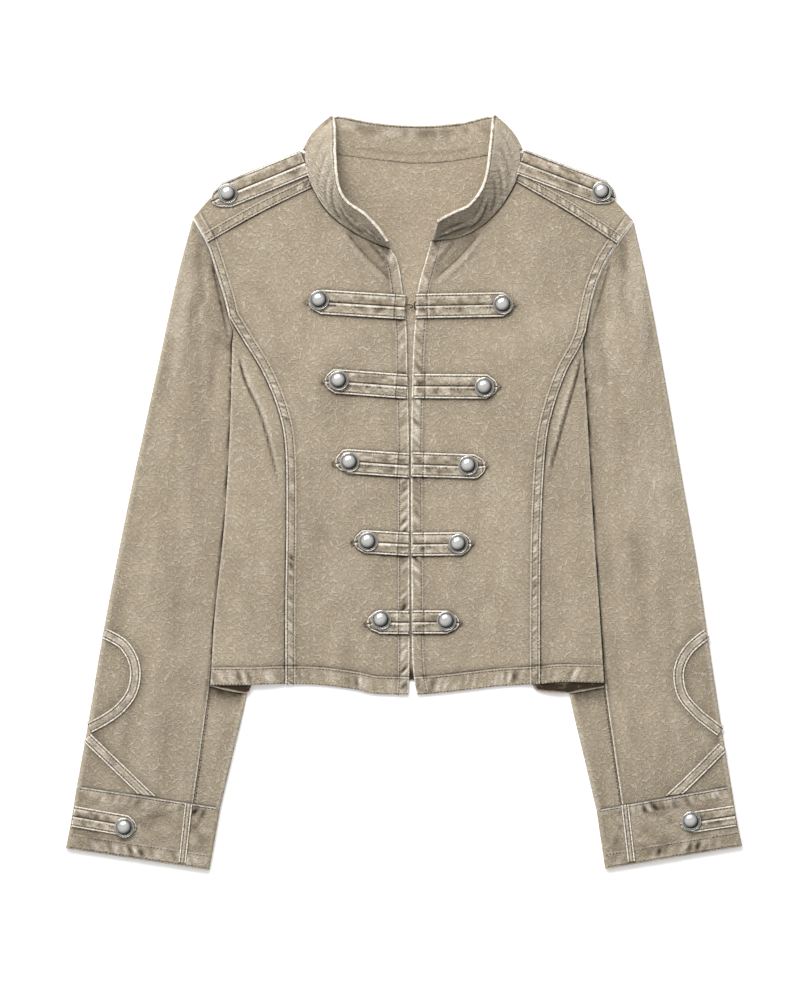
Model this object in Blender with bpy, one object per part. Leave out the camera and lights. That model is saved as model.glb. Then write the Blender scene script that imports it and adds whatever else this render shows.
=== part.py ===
# Short stand-collar jacket of washed cotton twill, laid flat on its back with the front up.
# X runs to the wearer's left, Y from hem to collar, Z up from the surface it lies on.
# Tables and named sizes are in millimetres; every point is turned to metres as it is made.

import math
from collections import namedtuple

import bmesh
import bpy
from mathutils import Vector

mm = 0.001

# Driving sizes of the cloth
clothThick = 1.2
doubleThick = 2.0
collarThick = 2.2
seamGap = 0.4
layerGapEdge = 0.5
layerGapInside = 1.0
hemDepth = 16.0
fellWidth = 9.0
facingWidth = 10.0
fellRise = 0.8
facingRise = 0.3
step = 1.5
trimGap = 0.7
shoulderTrimGap = 1.2
cuffTrimGap = 0.35
braidGap = 0.6
buttonGap = 0.35
wireRadius = 0.5

# How the layers lie
sleeveFlat = 2.9
sleevePuff = 2.6
puffFrom = 10.0
puffReach = 30.0
tuckLift = 3.9
tuckRamp = 40.0
tuckFullBy = 9.0
underarmFrom = 12.0
underarmRamp = 36.0
cuffHigh = 6.0
frontDrape = 0.9

# Buttons: domed metal, all one size
buttonRadius = 9.2
buttonHigh = 5.6
buttonSides = 16

Pair = namedtuple("Pair", "rightX rightY leftX leftY")
Tab = namedtuple("Tab", "edgeX edgeY endX endY tipX tipY buttonX buttonY width")
CollarRow = namedtuple("CollarRow", "neckX neckY rise topX topY topZ")
Fold = namedtuple("Fold", "fromX fromY toX toY width rise")

# Lines of the pattern, one row for each place, wearer's right and left side by side
sleeveOuterEdge = [
    Pair(-194, 252, 211, 249),
    Pair(-209, 195, 223, 195),
    Pair(-225, 121, 237, 121),
    Pair(-249, 11, 256, 11),
    Pair(-264, -63, 269, -63),
    Pair(-278, -137, 280, -137),
    Pair(-290, -210, 291, -210),
    Pair(-301, -271, 301, -271),
]
sleeveInnerEdge = [
    Pair(-90, 102, 95, 104),
    Pair(-113, -30, 122, -30),
    Pair(-143, -180, 151, -181),
    Pair(-157, -240, 164, -238),
    Pair(-169, -291, 177, -293),
]
cuffOuterEdge = [Pair(-301, -271, 301, -271), Pair(-306, -302, 306, -302), Pair(-311, -328, 311, -326)]
cuffInnerEdge = [Pair(-169, -291, 177, -293), Pair(-174, -320, 181, -320), Pair(-179, -348, 185, -347)]
armhole = [
    Pair(-158, 136, 164, 138),
    Pair(-157, 148, 167, 147),
    Pair(-161, 161, 170, 164),
    Pair(-165, 178, 176, 188),
    Pair(-172, 201, 185, 210),
    Pair(-181, 229, 196, 228),
    Pair(-194, 252, 211, 249),
]
sideEdge = [
    Pair(-178, -178, 184, -176),
    Pair(-174, -113, 180, -113),
    Pair(-165, -27, 174, -27),
    Pair(-160, 60, 169, 60),
    Pair(-158, 136, 164, 138),
]
princessSeam = [
    Pair(-109, -177, 125, -177),
    Pair(-109, -100, 125, -100),
    Pair(-108, -30, 126, -30),
    Pair(-109, 40, 130, 40),
    Pair(-116, 76, 137, 76),
    Pair(-130, 110, 149, 110),
    Pair(-147, 138, 161, 132),
    Pair(-161, 161, 167, 147),
]
frontEdge = [
    Pair(4, -187, 12, -187),
    Pair(5, -160, 8, -160),
    Pair(5, -100, 7, -100),
    Pair(4.5, 40, 6.5, 40),
    Pair(3, 120, 8, 120),
    Pair(2, 155, 10, 155),
    Pair(-2, 190, 13, 187),
    Pair(-6, 212, 18, 206),
    Pair(-13, 224, 25, 231),
]
frontHem = [
    Pair(-178, -178, 184, -176),
    Pair(-143, -178, 146, -175),
    Pair(-109, -177, 125, -177),
    Pair(-77, -178, 89, -179),
    Pair(-46, -182, 63, -182),
    Pair(-27, -186, 36, -185),
    Pair(4, -187, 12, -187),
]
frontNeck = [
    Pair(-84, 280, 103, 285),
    Pair(-73, 261, 95, 271),
    Pair(-61, 249, 84, 256),
    Pair(-45, 238, 69, 243),
    Pair(-27, 229, 50, 234),
    Pair(-13, 224, 25, 231),
]
yokeNeck = [Pair(-84, 280, 103, 285), Pair(-90, 296, 107, 300), Pair(-93, 312, 109, 312)]
yokeFrontSeam = [Pair(-84, 280, 103, 285), Pair(-133, 256, 150, 258), Pair(-181, 229, 196, 228)]
yokeBackSeam = [Pair(-72, 311, 88, 311), Pair(-130, 279, 148, 277), Pair(-188, 243, 205, 241)]
shoulderEdge = [
    Pair(-93, 313, 109, 313),
    Pair(-116, 305, 133, 302),
    Pair(-152, 288, 162, 288),
    Pair(-175, 273, 190, 271),
    Pair(-194, 252, 211, 249),
]
backHemY = -183.0
backNeckMiddle = [(-72, 311), (-40, 307), (8, 302), (45, 304), (88, 311)]

# The stand collar, from the fold beside the shoulder down to the front end: the seam, how far
# the band stands off the cloth under it, and its top edge
collarRight = [
    CollarRow(-90, 300, 1.4, -63, 331, 13),
    CollarRow(-86, 285, 1.4, -63, 312, 21),
    CollarRow(-78, 269, 1.3, -62, 294, 27),
    CollarRow(-68, 256, 1.2, -59, 277, 30),
    CollarRow(-55, 245, 1.1, -51, 265, 33),
    CollarRow(-40, 236, 1.0, -38, 256, 35),
    CollarRow(-26, 229.5, 0.9, -25, 243, 37),
    CollarRow(-14, 225.5, 0.8, -15, 229, 38),
]
collarLeft = [
    CollarRow(106, 300, 1.4, 80, 330, 13),
    CollarRow(102, 285, 1.4, 78, 311, 21),
    CollarRow(94, 270, 1.3, 76, 294, 27),
    CollarRow(84, 257, 1.2, 71, 278, 30),
    CollarRow(70, 245, 1.1, 60, 263, 33),
    CollarRow(54, 237, 1.0, 47, 256.5, 34),
    CollarRow(39, 233, 0.9, 37, 251.5, 34),
    CollarRow(26, 231.5, 0.8, 31, 248, 33),
]
collarFoldRight = ((-92.5, 314.5), (-66, 345))
collarFoldLeft = ((108.5, 314.5), (83, 345.5))
collarBackSeam = [(-72, 313), (-40, 308.6), (8, 303.6), (45, 305.6), (88, 313)]
collarBackTop = [(-58, 345.5), (-35, 341), (-12, 338), (19, 337), (49, 339), (75, 345)]

# Front tabs, five on each side, from the opening to the pointed end under the button
tabsRight = [
    Tab(1, 169.5, -77, 174.5, -88, 174, -78, 176, 23),
    Tab(2.5, 96.5, -64, 101.5, -73, 101, -60, 102, 23),
    Tab(4, 24, -53, 28, -63, 25, -50, 27, 23),
    Tab(4.2, -48.5, -37, -46, -46, -47, -33, -46, 22),
    Tab(4.6, -120.5, -24, -120, -34, -122, -21, -118, 22),
]
tabsLeft = [
    Tab(11.5, 170.5, 91, 172, 101, 172, 91, 172, 23),
    Tab(9.5, 97, 76, 96.5, 86, 96, 74, 96, 23),
    Tab(8, 25, 66, 23, 75, 24, 59, 24, 23),
    Tab(8, -48.5, 53, -48, 62, -48, 50, -48, 22),
    Tab(8.5, -120, 40, -120, 51, -121, 39, -119, 22),
]
cuffTabRight = Tab(-300, -299, -256, -307, -246, -310, -257, -309, 20)
cuffTabLeft = Tab(300, -299, 265, -304, 254, -307, 264, -303, 20)
shoulderStrapRight = Tab(-93.5, 294, -160, 270, -177, 266, -162, 274, 16)
shoulderStrapLeft = Tab(109.5, 297.5, 178, 273, 193, 269, 182, 276, 16)

# Trim on the forearm: a loop off the outer edge, and a diagonal from it down to the cuff
braidWidth = 9.0
braidThick = 1.1
braidLoop = [
    Pair(-269, -134, 273, -136),
    Pair(-257, -142, 261, -146),
    Pair(-249, -155, 254, -159),
    Pair(-247, -170, 252.5, -173),
    Pair(-251, -186, 257, -189),
    Pair(-262, -200, 270, -204),
    Pair(-275, -209.5, 281, -213),
    Pair(-284, -214, 286, -216.5),
]
braidDiagonal = [Pair(-284, -232, 286, -242), Pair(-262, -254, 264, -264), Pair(-236, -277, 249, -277.5)]
ventStrip = [Pair(-198, -287.5, 203, -288), Pair(-204, -341, 209, -340)]
ventWidth = 6.0

# Largest soft folds of the laid cloth, as low ridges
folds = [
    Fold(-132, 118, -112, 30, 11, 0.9),
    Fold(160, 118, 139, 30, 11, 0.9),
    Fold(-62, 232, -22, 196, 12, 0.8),
    Fold(70, 232, 30, 196, 12, 0.8),
]
sleeveFolds = [
    Fold(-206, 170, -196, 60, 12, 0.9),
    Fold(222, 160, 204, 50, 12, 0.9),
    Fold(-236, -40, -214, -120, 14, 0.8),
    Fold(246, -30, 222, -110, 14, 0.8),
]

clothTint = (0.42, 0.36, 0.28, 1.0)
metalTint = (0.62, 0.61, 0.59, 1.0)
wireTint = (0.03, 0.03, 0.03, 1.0)


def smoothStep(share):
    share = min(max(share, 0.0), 1.0)
    return share * share * (3 - 2 * share)


def roundedLine(points, parts=6):
    # A Catmull-Rom curve through the points, as a close chain
    chain = [points[0] * 2 - points[1], *points, points[-1] * 2 - points[-2]]
    line = []
    for before, start, end, after in zip(chain, chain[1:], chain[2:], chain[3:]):
        for part in range(parts):
            t = part / parts
            line.append(
                0.5
                * (
                    2 * start
                    + (end - before) * t
                    + (2 * before - 5 * start + 4 * end - after) * t**2
                    + (3 * start - before - 3 * end + after) * t**3
                )
            )
    return [*line, points[-1]]


class Line:
    # A plan line, read by its share of the length
    def __init__(self, *stretches):
        self.points = []
        for stretch in stretches:
            corners = [Vector(point) for point in stretch]
            chain = roundedLine(corners) if len(corners) > 2 else corners
            self.points += chain[1:] if self.points else chain
        self.marks = [0.0]
        for start, end in zip(self.points, self.points[1:]):
            self.marks.append(self.marks[-1] + (end - start).length)
        self.length = self.marks[-1]

    def at(self, share):
        goal = min(max(share, 0.0), 1.0) * self.length
        index = 1
        while index < len(self.marks) - 1 and self.marks[index] < goal:
            index += 1
        reach = self.marks[index] - self.marks[index - 1]
        part = (goal - self.marks[index - 1]) / reach
        return self.points[index - 1].lerp(self.points[index], part)


def onSide(pairs, side):
    if side == "right":
        return [(pair.rightX, pair.rightY) for pair in pairs]
    return [(pair.leftX, pair.leftY) for pair in pairs]


def turned(points):
    return list(reversed(points))


def patch(left, right, bottom, top):
    # The plan surface between four border lines, left and right both running from bottom to top
    startLeft, startRight, endLeft, endRight = left.at(0), right.at(0), left.at(1), right.at(1)

    def place(u, v):
        sides = left.at(v).lerp(right.at(v), u)
        ends = bottom.at(u).lerp(top.at(u), v)
        corners = startLeft.lerp(startRight, u).lerp(endLeft.lerp(endRight, u), v)
        return sides + ends - corners

    return place


bodyOutline = Line(
    onSide(sideEdge, "right"),
    onSide(armhole, "right"),
    turned(onSide(shoulderEdge, "right")),
    [(-93, 313), (109, 313)],
    onSide(shoulderEdge, "left"),
    turned(onSide(armhole, "left")),
    turned(onSide(sideEdge, "left")),
    [(184, -176), (-178, -178)],
).points


def segmentShare(point, start, end):
    along = end - start
    return min(max((point - start).dot(along) / max(along.length_squared, 1e-9), 0.0), 1.0)


def edgeDistance(x, y):
    point = Vector((x, y))
    nearest = 1e9
    for start, end in zip(bodyOutline, bodyOutline[1:]):
        nearest = min(nearest, (point - start.lerp(end, segmentShare(point, start, end))).length)
    return nearest


def insideBody(x, y):
    inside = False
    for start, end in zip(bodyOutline, bodyOutline[1:]):
        if (start.y > y) != (end.y > y):
            if x < start.x + (end.x - start.x) * (y - start.y) / (end.y - start.y):
                inside = not inside
    return inside


def foldRise(x, y, table):
    point = Vector((x, y))
    rise = 0.0
    for fold in table:
        start, end = Vector((fold.fromX, fold.fromY)), Vector((fold.toX, fold.toY))
        share = segmentShare(point, start, end)
        away = (point - start.lerp(end, share)).length / fold.width
        rise += fold.rise * math.exp(-away * away)
    return rise


def tuckedRise(x, y):
    # The body rides up over the strip of each sleeve that is tucked under it
    rise = 0.0
    for side, turn in (("right", 1), ("left", -1)):
        top, low = onSide(sleeveInnerEdge, side)[0], onSide(sleeveInnerEdge, side)[2]
        underarm = onSide(armhole, side)[0]
        edgeX = low[0] + (top[0] - low[0]) * (y - low[1]) / (top[1] - low[1])
        edgeY = underarm[1] + (top[1] - underarm[1]) * (x - underarm[0]) / (top[0] - underarm[0])
        edgeY = min(max(edgeY, top[1]), underarm[1])
        over = turn * (edgeX - x)
        across = smoothStep((over + tuckFullBy + tuckRamp) / tuckRamp)
        rise += tuckLift * across * (1 - smoothStep((y - edgeY - underarmFrom) / underarmRamp))
    return rise


def backTop(x, y):
    return clothThick + tuckedRise(x, y)


def frontLow(x, y):
    inward = edgeDistance(x, y)
    gap = layerGapEdge + (layerGapInside - layerGapEdge) * smoothStep(inward / 15)
    drape = frontDrape * smoothStep(inward / 60)
    folded = foldRise(x, y, folds) * smoothStep(inward / 25)
    return backTop(x, y) + gap + drape + folded


def frontTop(x, y):
    return frontLow(x, y) + clothThick


def sleeveTop(x, y):
    if insideBody(x, y):
        return sleeveFlat
    away = edgeDistance(x, y)
    return sleeveFlat + sleevePuff * smoothStep((away - puffFrom) / puffReach) + foldRise(x, y, sleeveFolds) * smoothStep(
        away / 25
    )


def yokeTop(x, y):
    inward = edgeDistance(x, y) if insideBody(x, y) else 0.0
    return 2 * clothThick + layerGapEdge + (layerGapInside + frontDrape) * smoothStep(inward / 40)


def finish(name, tint, roughness, metallic):
    material = bpy.data.materials.new(name)
    material.use_nodes = True
    shader = material.node_tree.nodes["Principled BSDF"]
    shader.inputs["Base Color"].default_value = tint
    shader.inputs["Roughness"].default_value = roughness
    shader.inputs["Metallic"].default_value = metallic
    return material


def addObject(name, mesh, tint=clothTint, roughness=0.85, metallic=0.0, smooth=True):
    bmesh.ops.recalc_face_normals(mesh, faces=mesh.faces)
    data = bpy.data.meshes.new(name)
    mesh.to_mesh(data)
    mesh.free()
    if smooth:
        data.shade_smooth()
        data.set_sharp_from_angle(angle=math.radians(35))
    data.materials.append(finish(name, tint, roughness, metallic))
    made = bpy.data.objects.new(name, data)
    bpy.context.scene.collection.objects.link(made)
    return made


def addWall(name, low, high, ring=False):
    # The solid between two equal grids of points, given in millimetres
    mesh = bmesh.new()
    under = [[mesh.verts.new(point * mm) for point in row] for row in low]
    over = [[mesh.verts.new(point * mm) for point in row] for row in high]
    rows, columns = len(low), len(low[0])
    spans = [(c, (c + 1) % columns) for c in range(columns if ring else columns - 1)]
    for r in range(rows - 1):
        for c, d in spans:
            mesh.faces.new((over[r][c], over[r][d], over[r + 1][d], over[r + 1][c]))
            mesh.faces.new((under[r][c], under[r + 1][c], under[r + 1][d], under[r][d]))
    for c, d in spans:
        mesh.faces.new((under[0][c], under[0][d], over[0][d], over[0][c]))
        mesh.faces.new((under[-1][d], under[-1][c], over[-1][c], over[-1][d]))
    if not ring:
        for r in range(rows - 1):
            mesh.faces.new((under[r + 1][0], under[r][0], over[r][0], over[r + 1][0]))
            mesh.faces.new((under[r][-1], under[r + 1][-1], over[r + 1][-1], over[r][-1]))
    return addObject(name, mesh)


def addPanel(name, place, shareRows, shareColumns, lowAt, highAt):
    # A flat-lying piece: shareColumns gives each row's places across, highAt sees the places too
    low, high = [], []
    for v in shareRows:
        lowRow, highRow = [], []
        for u in shareColumns(v):
            spot = place(u, v)
            lowRow.append(Vector((spot.x, spot.y, lowAt(spot.x, spot.y))))
            highRow.append(Vector((spot.x, spot.y, highAt(spot.x, spot.y, u, v))))
        low.append(lowRow)
        high.append(highRow)
    return addWall(name, low, high)


def evenly(first, last, parts):
    return [first + (last - first) * part / parts for part in range(parts + 1)]


def makeFront(side):
    # Front from the princess seam to the opening, up to the yoke and the neck
    princess = Line(onSide(princessSeam, side))
    armholePart = [point for point in onSide(armhole, side) if 150 < point[1] < 235]
    left = Line(onSide(princessSeam, side), [onSide(princessSeam, side)[-1], *armholePart])
    right = Line(onSide(frontEdge, side))
    bottom = Line(onSide(frontHem, side)[2:])
    top = Line(turned(onSide(yokeFrontSeam, side)), onSide(frontNeck, side))
    place = patch(left, right, bottom, top)
    lower = princess.length / left.length
    hem = hemDepth / left.length
    rows = [0, hem, hem + step / left.length]
    rows += [lower * share for share in (0.12, 0.21, 0.31, 0.41, 0.51, 0.61, 0.7, 0.78, 0.86, 0.93, 1)]
    rows += [lower + (1 - lower) * share for share in (0.15, 0.35, 0.6, 0.8)] + [1 - seamGap / left.length]

    def columns(v):
        width = (place(1, v) - place(0, v)).length
        gap, fell, facing, edge = seamGap / width, fellWidth / width, facingWidth / width, step / width
        return [gap, fell, fell + edge, *evenly(0.2, 0.8, 5), 1 - facing - edge, 1 - facing, 1]

    def high(x, y, u, v):
        width = (place(1, v) - place(0, v)).length
        rise = fellRise if u * width < fellWidth + 0.1 or v * left.length < hemDepth + 0.1 else 0.0
        rise = max(rise, facingRise if (1 - u) * width < facingWidth + 0.1 else 0.0)
        return frontTop(x, y) + rise

    addPanel(f"front_{side}", place, rows, columns, frontLow, high)


def makeSideFront(side):
    left, right = Line(onSide(sideEdge, side)), Line(onSide(princessSeam, side))
    bottom, top = Line(onSide(frontHem, side)[:3]), Line(onSide(armhole, side)[: 3 if side == "right" else 2])
    place = patch(left, right, bottom, top)
    hem = hemDepth / right.length
    rows = [0, hem, hem + step / right.length]
    rows += [0.12, 0.21, 0.31, 0.41, 0.51, 0.61, 0.7, 0.78, 0.86, 0.93, 1 - 0.5 * seamGap / right.length]

    def columns(v):
        return [0, 0.12, 0.34, 0.56, 0.78, 1 - seamGap / (place(1, v) - place(0, v)).length]

    def high(x, y, u, v):
        return frontTop(x, y) + (fellRise if v * right.length < hemDepth + 0.1 else 0.0)

    addPanel(f"side_front_{side}", place, rows, columns, frontLow, high)


def makeBack():
    # Back in one piece, from hem to the yoke seams and the neck; its inside shows in the neck
    left = Line(onSide(sideEdge, "right"), [*onSide(armhole, "right")[:-1], (-188, 243)])
    right = Line(onSide(sideEdge, "left"), [*onSide(armhole, "left")[:-1], (205, 241)])
    bottom = Line([(-178, -178), (-172, backHemY)], [(-172, backHemY), (178, backHemY)], [(178, backHemY), (184, -176)])
    top = Line(turned(onSide(yokeBackSeam, "right")), backNeckMiddle, onSide(yokeBackSeam, "left"))
    place = patch(left, right, bottom, top)
    shares = [0, 0.035, 0.12, 0.21, 0.3, 0.39, 0.48, 0.57, 0.66, 0.71, 0.75, 0.79, 0.83, 0.87, 0.915, 0.96]
    rows = [*shares, 1 - seamGap / left.length]
    across = [0, 0.03, 0.08, 0.13, 0.18, 0.23, 0.28, 0.34, 0.42, 0.5, 0.58, 0.66, 0.72, 0.77, 0.82, 0.87, 0.92, 0.97, 1]

    def low(x, y):
        return backTop(x, y) - clothThick

    addPanel("back", place, rows, lambda v: across, low, lambda x, y, u, v: backTop(x, y))


def foldPoint(edge, inward, radius, angle, centreZ, depth):
    # A point on the round fold whose outermost place is edge; depth is how far under the face
    reach = radius - depth
    spot = edge + inward * (radius - reach * math.cos(angle))
    return Vector((spot.x, spot.y, centreZ + reach * math.sin(angle)))


def makeYoke(side):
    # Forward yoke: front seam, over the shoulder fold, to a seam just behind it
    front, fold, back = (Line(onSide(table, side)) for table in (yokeFrontSeam, shoulderEdge, yokeBackSeam))
    low, high = [], []
    for share in (0.006, 0.12, 0.25, 0.38, 0.5, 0.62, 0.75, 0.88, 0.994):
        start, edge, end = front.at(share), fold.at(share), back.at(share)
        inward = (start - edge).normalized()
        start = start - inward * seamGap
        highRow, lowRow = [], []
        for part in (0, 0.3, 0.36, 0.68):
            spot = start.lerp(edge, part)
            rise = fellRise if part < 0.35 else 0.0
            top = yokeTop(spot.x, spot.y)
            highRow.append(Vector((spot.x, spot.y, top + rise)))
            lowRow.append(Vector((spot.x, spot.y, top - clothThick)))
        radius = clothThick + layerGapEdge / 2
        for angle in (90, 40, 0, -40, -90):
            turn = math.radians(angle)
            highRow.append(foldPoint(edge, inward, radius, turn, radius, 0))
            lowRow.append(foldPoint(edge, inward, radius, turn, radius, clothThick))
        hidden = end + (edge - end).normalized() * seamGap
        highRow.append(Vector((hidden.x, hidden.y, 0)))
        lowRow.append(Vector((hidden.x, hidden.y, clothThick)))
        low.append(lowRow)
        high.append(highRow)
    addWall(f"yoke_{side}", low, high)


def sleevePlan(side):
    outer, inner = Line(onSide(sleeveOuterEdge, side)), Line(onSide(sleeveInnerEdge, side))
    hiddenEnd = [onSide(armhole, side)[0], onSide(sleeveInnerEdge, side)[0]]
    head = Line(turned(onSide(armhole, side)), hiddenEnd)
    cuffSeam = Line([onSide(sleeveOuterEdge, side)[-1], onSide(sleeveInnerEdge, side)[-1]])
    return patch(outer, inner, head, cuffSeam), outer.length


def sleeveSeamShare(v):
    # The seam that shows, as a share of the way from the outer fold to the inner one
    return 0.63 + 0.18 * v**2.4


underSeamShare = 0.5


def tubePoint(place, v, u, angle, thick, topAt):
    # One point of a flattened tube, on its face and thick under it. angle is None on a flat layer
    # of the tube's upper half, and a number on a fold; u is then 0 or 1
    near, far = place(0, v), place(1, v)
    if angle is None:
        spot = place(u, v)
        top = topAt(spot.x, spot.y)
        return Vector((spot.x, spot.y, top)), Vector((spot.x, spot.y, top - thick))
    edge, other = (near, far) if u == 0 else (far, near)
    inward = (other - edge).normalized()
    well = edge + inward * sleeveFlat
    radius = topAt(well.x, well.y) / 2
    turn = math.radians(angle)
    return (
        foldPoint(edge, inward, radius, turn, radius, 0),
        foldPoint(edge, inward, radius, turn, radius, thick),
    )


def underPoint(place, v, u, thick):
    spot = place(u, v)
    return Vector((spot.x, spot.y, 0)), Vector((spot.x, spot.y, thick))


foldAngles = (90, 45, 0, -45, -90)


def makeSleeve(side):
    # Two-piece sleeve, pressed flat: the upper piece turns over the outer fold, the under piece
    # over the inner one, which is tucked under the body down to the hem
    place, length = sleevePlan(side)
    head, wrist = 0.003, 1 - seamGap / length
    rows = [head, 0.03, 0.07, 0.12, 0.18, 0.25, 0.33, 0.42, 0.51, 0.6, 0.69, 0.78, 0.86, 0.94, wrist]
    upperFace, upperInside, underFace, underInside = [], [], [], []
    for v in rows:
        width = (place(1, v) - place(0, v)).length
        split, gap, fell = sleeveSeamShare(v), seamGap / width, fellWidth / width
        pieces = [tubePoint(place, v, split * part, None, clothThick, sleeveTop) for part in (1, 0.82, 0.62, 0.42, 0.22, 0.08)]
        pieces += [tubePoint(place, v, 0, angle, clothThick, sleeveTop) for angle in foldAngles]
        pieces += [underPoint(place, v, underSeamShare * part, clothThick) for part in (0.3, 0.65, 1)]
        upperFace.append([face for face, inside in pieces])
        upperInside.append([inside for face, inside in pieces])
        start, rest = split + gap, 1 - split
        pieces = [tubePoint(place, v, start, None, clothThick, sleeveTop)]
        pieces += [tubePoint(place, v, split + rest * part, None, clothThick, sleeveTop) for part in (0.35, 0.7)]
        pieces += [tubePoint(place, v, 1, angle, clothThick, sleeveTop) for angle in foldAngles]
        under = underSeamShare + gap
        pieces += [underPoint(place, v, 1 + (under - 1) * part, clothThick) for part in (0.3, 0.65, 1)]
        underFace.append([face for face, inside in pieces])
        underInside.append([inside for face, inside in pieces])
    addWall(f"top_sleeve_{side}", upperInside, upperFace)
    addWall(f"under_sleeve_{side}", underInside, underFace)


def cuffTop(x, y):
    return cuffHigh


def cuffPlan(side):
    outer, inner = Line(onSide(cuffOuterEdge, side)), Line(onSide(cuffInnerEdge, side))
    return patch(outer, inner, Line([outer.at(0), inner.at(0)]), Line([outer.at(1), inner.at(1)]))


def makeCuff(side):
    place = cuffPlan(side)
    face, inside = [], []
    for v in (0.008, 0.35, 0.72, 1):
        pieces = [tubePoint(place, v, part, None, doubleThick, cuffTop) for part in (0.75, 0.5, 0.25)]
        pieces += [tubePoint(place, v, 0, angle, doubleThick, cuffTop) for angle in foldAngles]
        pieces += [underPoint(place, v, part, doubleThick) for part in (0.25, 0.5, 0.75)]
        pieces += [tubePoint(place, v, 1, angle, doubleThick, cuffTop) for angle in turned(foldAngles)]
        face.append([outside for outside, under in pieces])
        inside.append([under for outside, under in pieces])
    addWall(f"cuff_{side}", inside, face, ring=True)


def bandRows(line, shares, halfWidths):
    # Left edge, middle and right edge of a flat band along a plan line
    rows = []
    for share, half in zip(shares, halfWidths):
        spot = line.at(share)
        along = (line.at(share + 0.02) - line.at(share - 0.02)).normalized()
        aside = Vector((-along.y, along.x)) * half
        rows.append([spot - aside, spot, spot + aside])
    return rows


def addBand(name, rows, topAt, gap, thick):
    low, high = [], []
    for row in rows:
        heights = [topAt(spot.x, spot.y) + gap for spot in row]
        low.append([Vector((spot.x, spot.y, z)) for spot, z in zip(row, heights)])
        high.append([Vector((spot.x, spot.y, z + thick)) for spot, z in zip(row, heights)])
    addWall(name, low, high)


def makeTab(name, tab, topAt, gap):
    # A doubled strap with a pointed end, sewn down along its edges
    line = Line([(tab.edgeX, tab.edgeY), (tab.endX, tab.endY)], [(tab.endX, tab.endY), (tab.tipX, tab.tipY)])
    end = math.dist((tab.edgeX, tab.edgeY), (tab.endX, tab.endY)) / line.length
    half = tab.width / 2
    point = end + (1 - end) * 0.7
    shares = [0, end * 0.25, end * 0.5, end * 0.75, end, point, 1]
    addBand(name, bandRows(line, shares, [half, half, half, half, half, half * 0.6, half * 0.2]), topAt, gap, doubleThick)


def makeButton(name, x, y, topAt, clear):
    # A domed metal button, flat back, rolled rim and low dome, on the highest cloth under it
    around = [(x + buttonRadius * a, y + buttonRadius * b) for a, b in ((0, 0), (1, 0), (-1, 0), (0, 1), (0, -1))]
    seat = max(topAt(*spot) for spot in around) + clear + doubleThick + buttonGap
    profile = [(0.55, 0.0), (0.96, 0.5), (1.0, 1.3), (0.9, 2.2), (0.78, 2.5), (0.55, 4.3), (0.28, 5.3)]
    mesh = bmesh.new()
    rings = []
    for reach, height in profile:
        ring = []
        for index in range(buttonSides):
            turn = 2 * math.pi * index / buttonSides
            radius = reach * buttonRadius
            spot = Vector((x + radius * math.cos(turn), y + radius * math.sin(turn), seat + height))
            ring.append(mesh.verts.new(spot * mm))
        rings.append(ring)
    for lower, upper in zip(rings, rings[1:]):
        for index in range(buttonSides):
            after = (index + 1) % buttonSides
            mesh.faces.new((lower[index], lower[after], upper[after], upper[index]))
    mesh.faces.new(rings[0])
    crown = mesh.verts.new(Vector((x, y, seat + buttonHigh)) * mm)
    for index in range(buttonSides):
        mesh.faces.new((rings[-1][index], rings[-1][(index + 1) % buttonSides], crown))
    addObject(name, mesh, metalTint, 0.3, 1.0)


def collarRows():
    # Seam line and top edge of the stand collar, from the right front end round the back to the left
    seam, top = [], []
    for row in turned(collarRight):
        seam.append(Vector((row.neckX, row.neckY, frontTop(row.neckX, row.neckY) + row.rise)))
        top.append(Vector((row.topX, row.topY, row.topZ)))
    backShares = (0.0, 0.16, 0.33, 0.5, 0.67, 0.84, 1.0)
    seamBack, topBack = Line(collarBackSeam), Line(collarBackTop)
    under, over = collarThick / 2, collarThick * 1.5 + layerGapInside
    for (neck, crown), flip in ((collarFoldRight, False), (collarFoldLeft, True)):
        fold = []
        for height, inset in ((over, 2.0), ((over + under) / 2, 0.0), (under, 2.0)):
            inward = Vector((-inset if flip else inset, -inset * 0.5))
            fold.append([Vector((*(Vector(end) + inward), height)) for end in (neck, crown)])
        if flip:
            for share in backShares:
                seam.append(Vector((*seamBack.at(share), under)))
                top.append(Vector((*topBack.at(share), under)))
            fold = turned(fold)
        seam += [ends[0] for ends in fold]
        top += [ends[1] for ends in fold]
    for row in collarLeft:
        seam.append(Vector((row.neckX, row.neckY, frontTop(row.neckX, row.neckY) + row.rise)))
        top.append(Vector((row.topX, row.topY, row.topZ)))
    return seam, top


def makeCollar():
    seam, top = collarRows()
    middle = []
    shares = (0.0, 0.34, 0.67, 1.0)
    for start, end in zip(seam, top):
        middle.append([start.lerp(end, share) for share in shares])
    face, inside = [], []
    for index, row in enumerate(middle):
        before, after = middle[max(index - 1, 0)], middle[min(index + 1, len(middle) - 1)]
        faceRow, insideRow = [], []
        for place, spot in enumerate(row):
            along = after[place] - before[place]
            across = row[min(place + 1, 3)] - row[max(place - 1, 0)]
            out = along.cross(across).normalized() * collarThick / 2
            faceRow.append(spot + out)
            insideRow.append(spot - out)
        face.append(faceRow)
        inside.append(insideRow)
    addWall("collar", inside, face)


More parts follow.
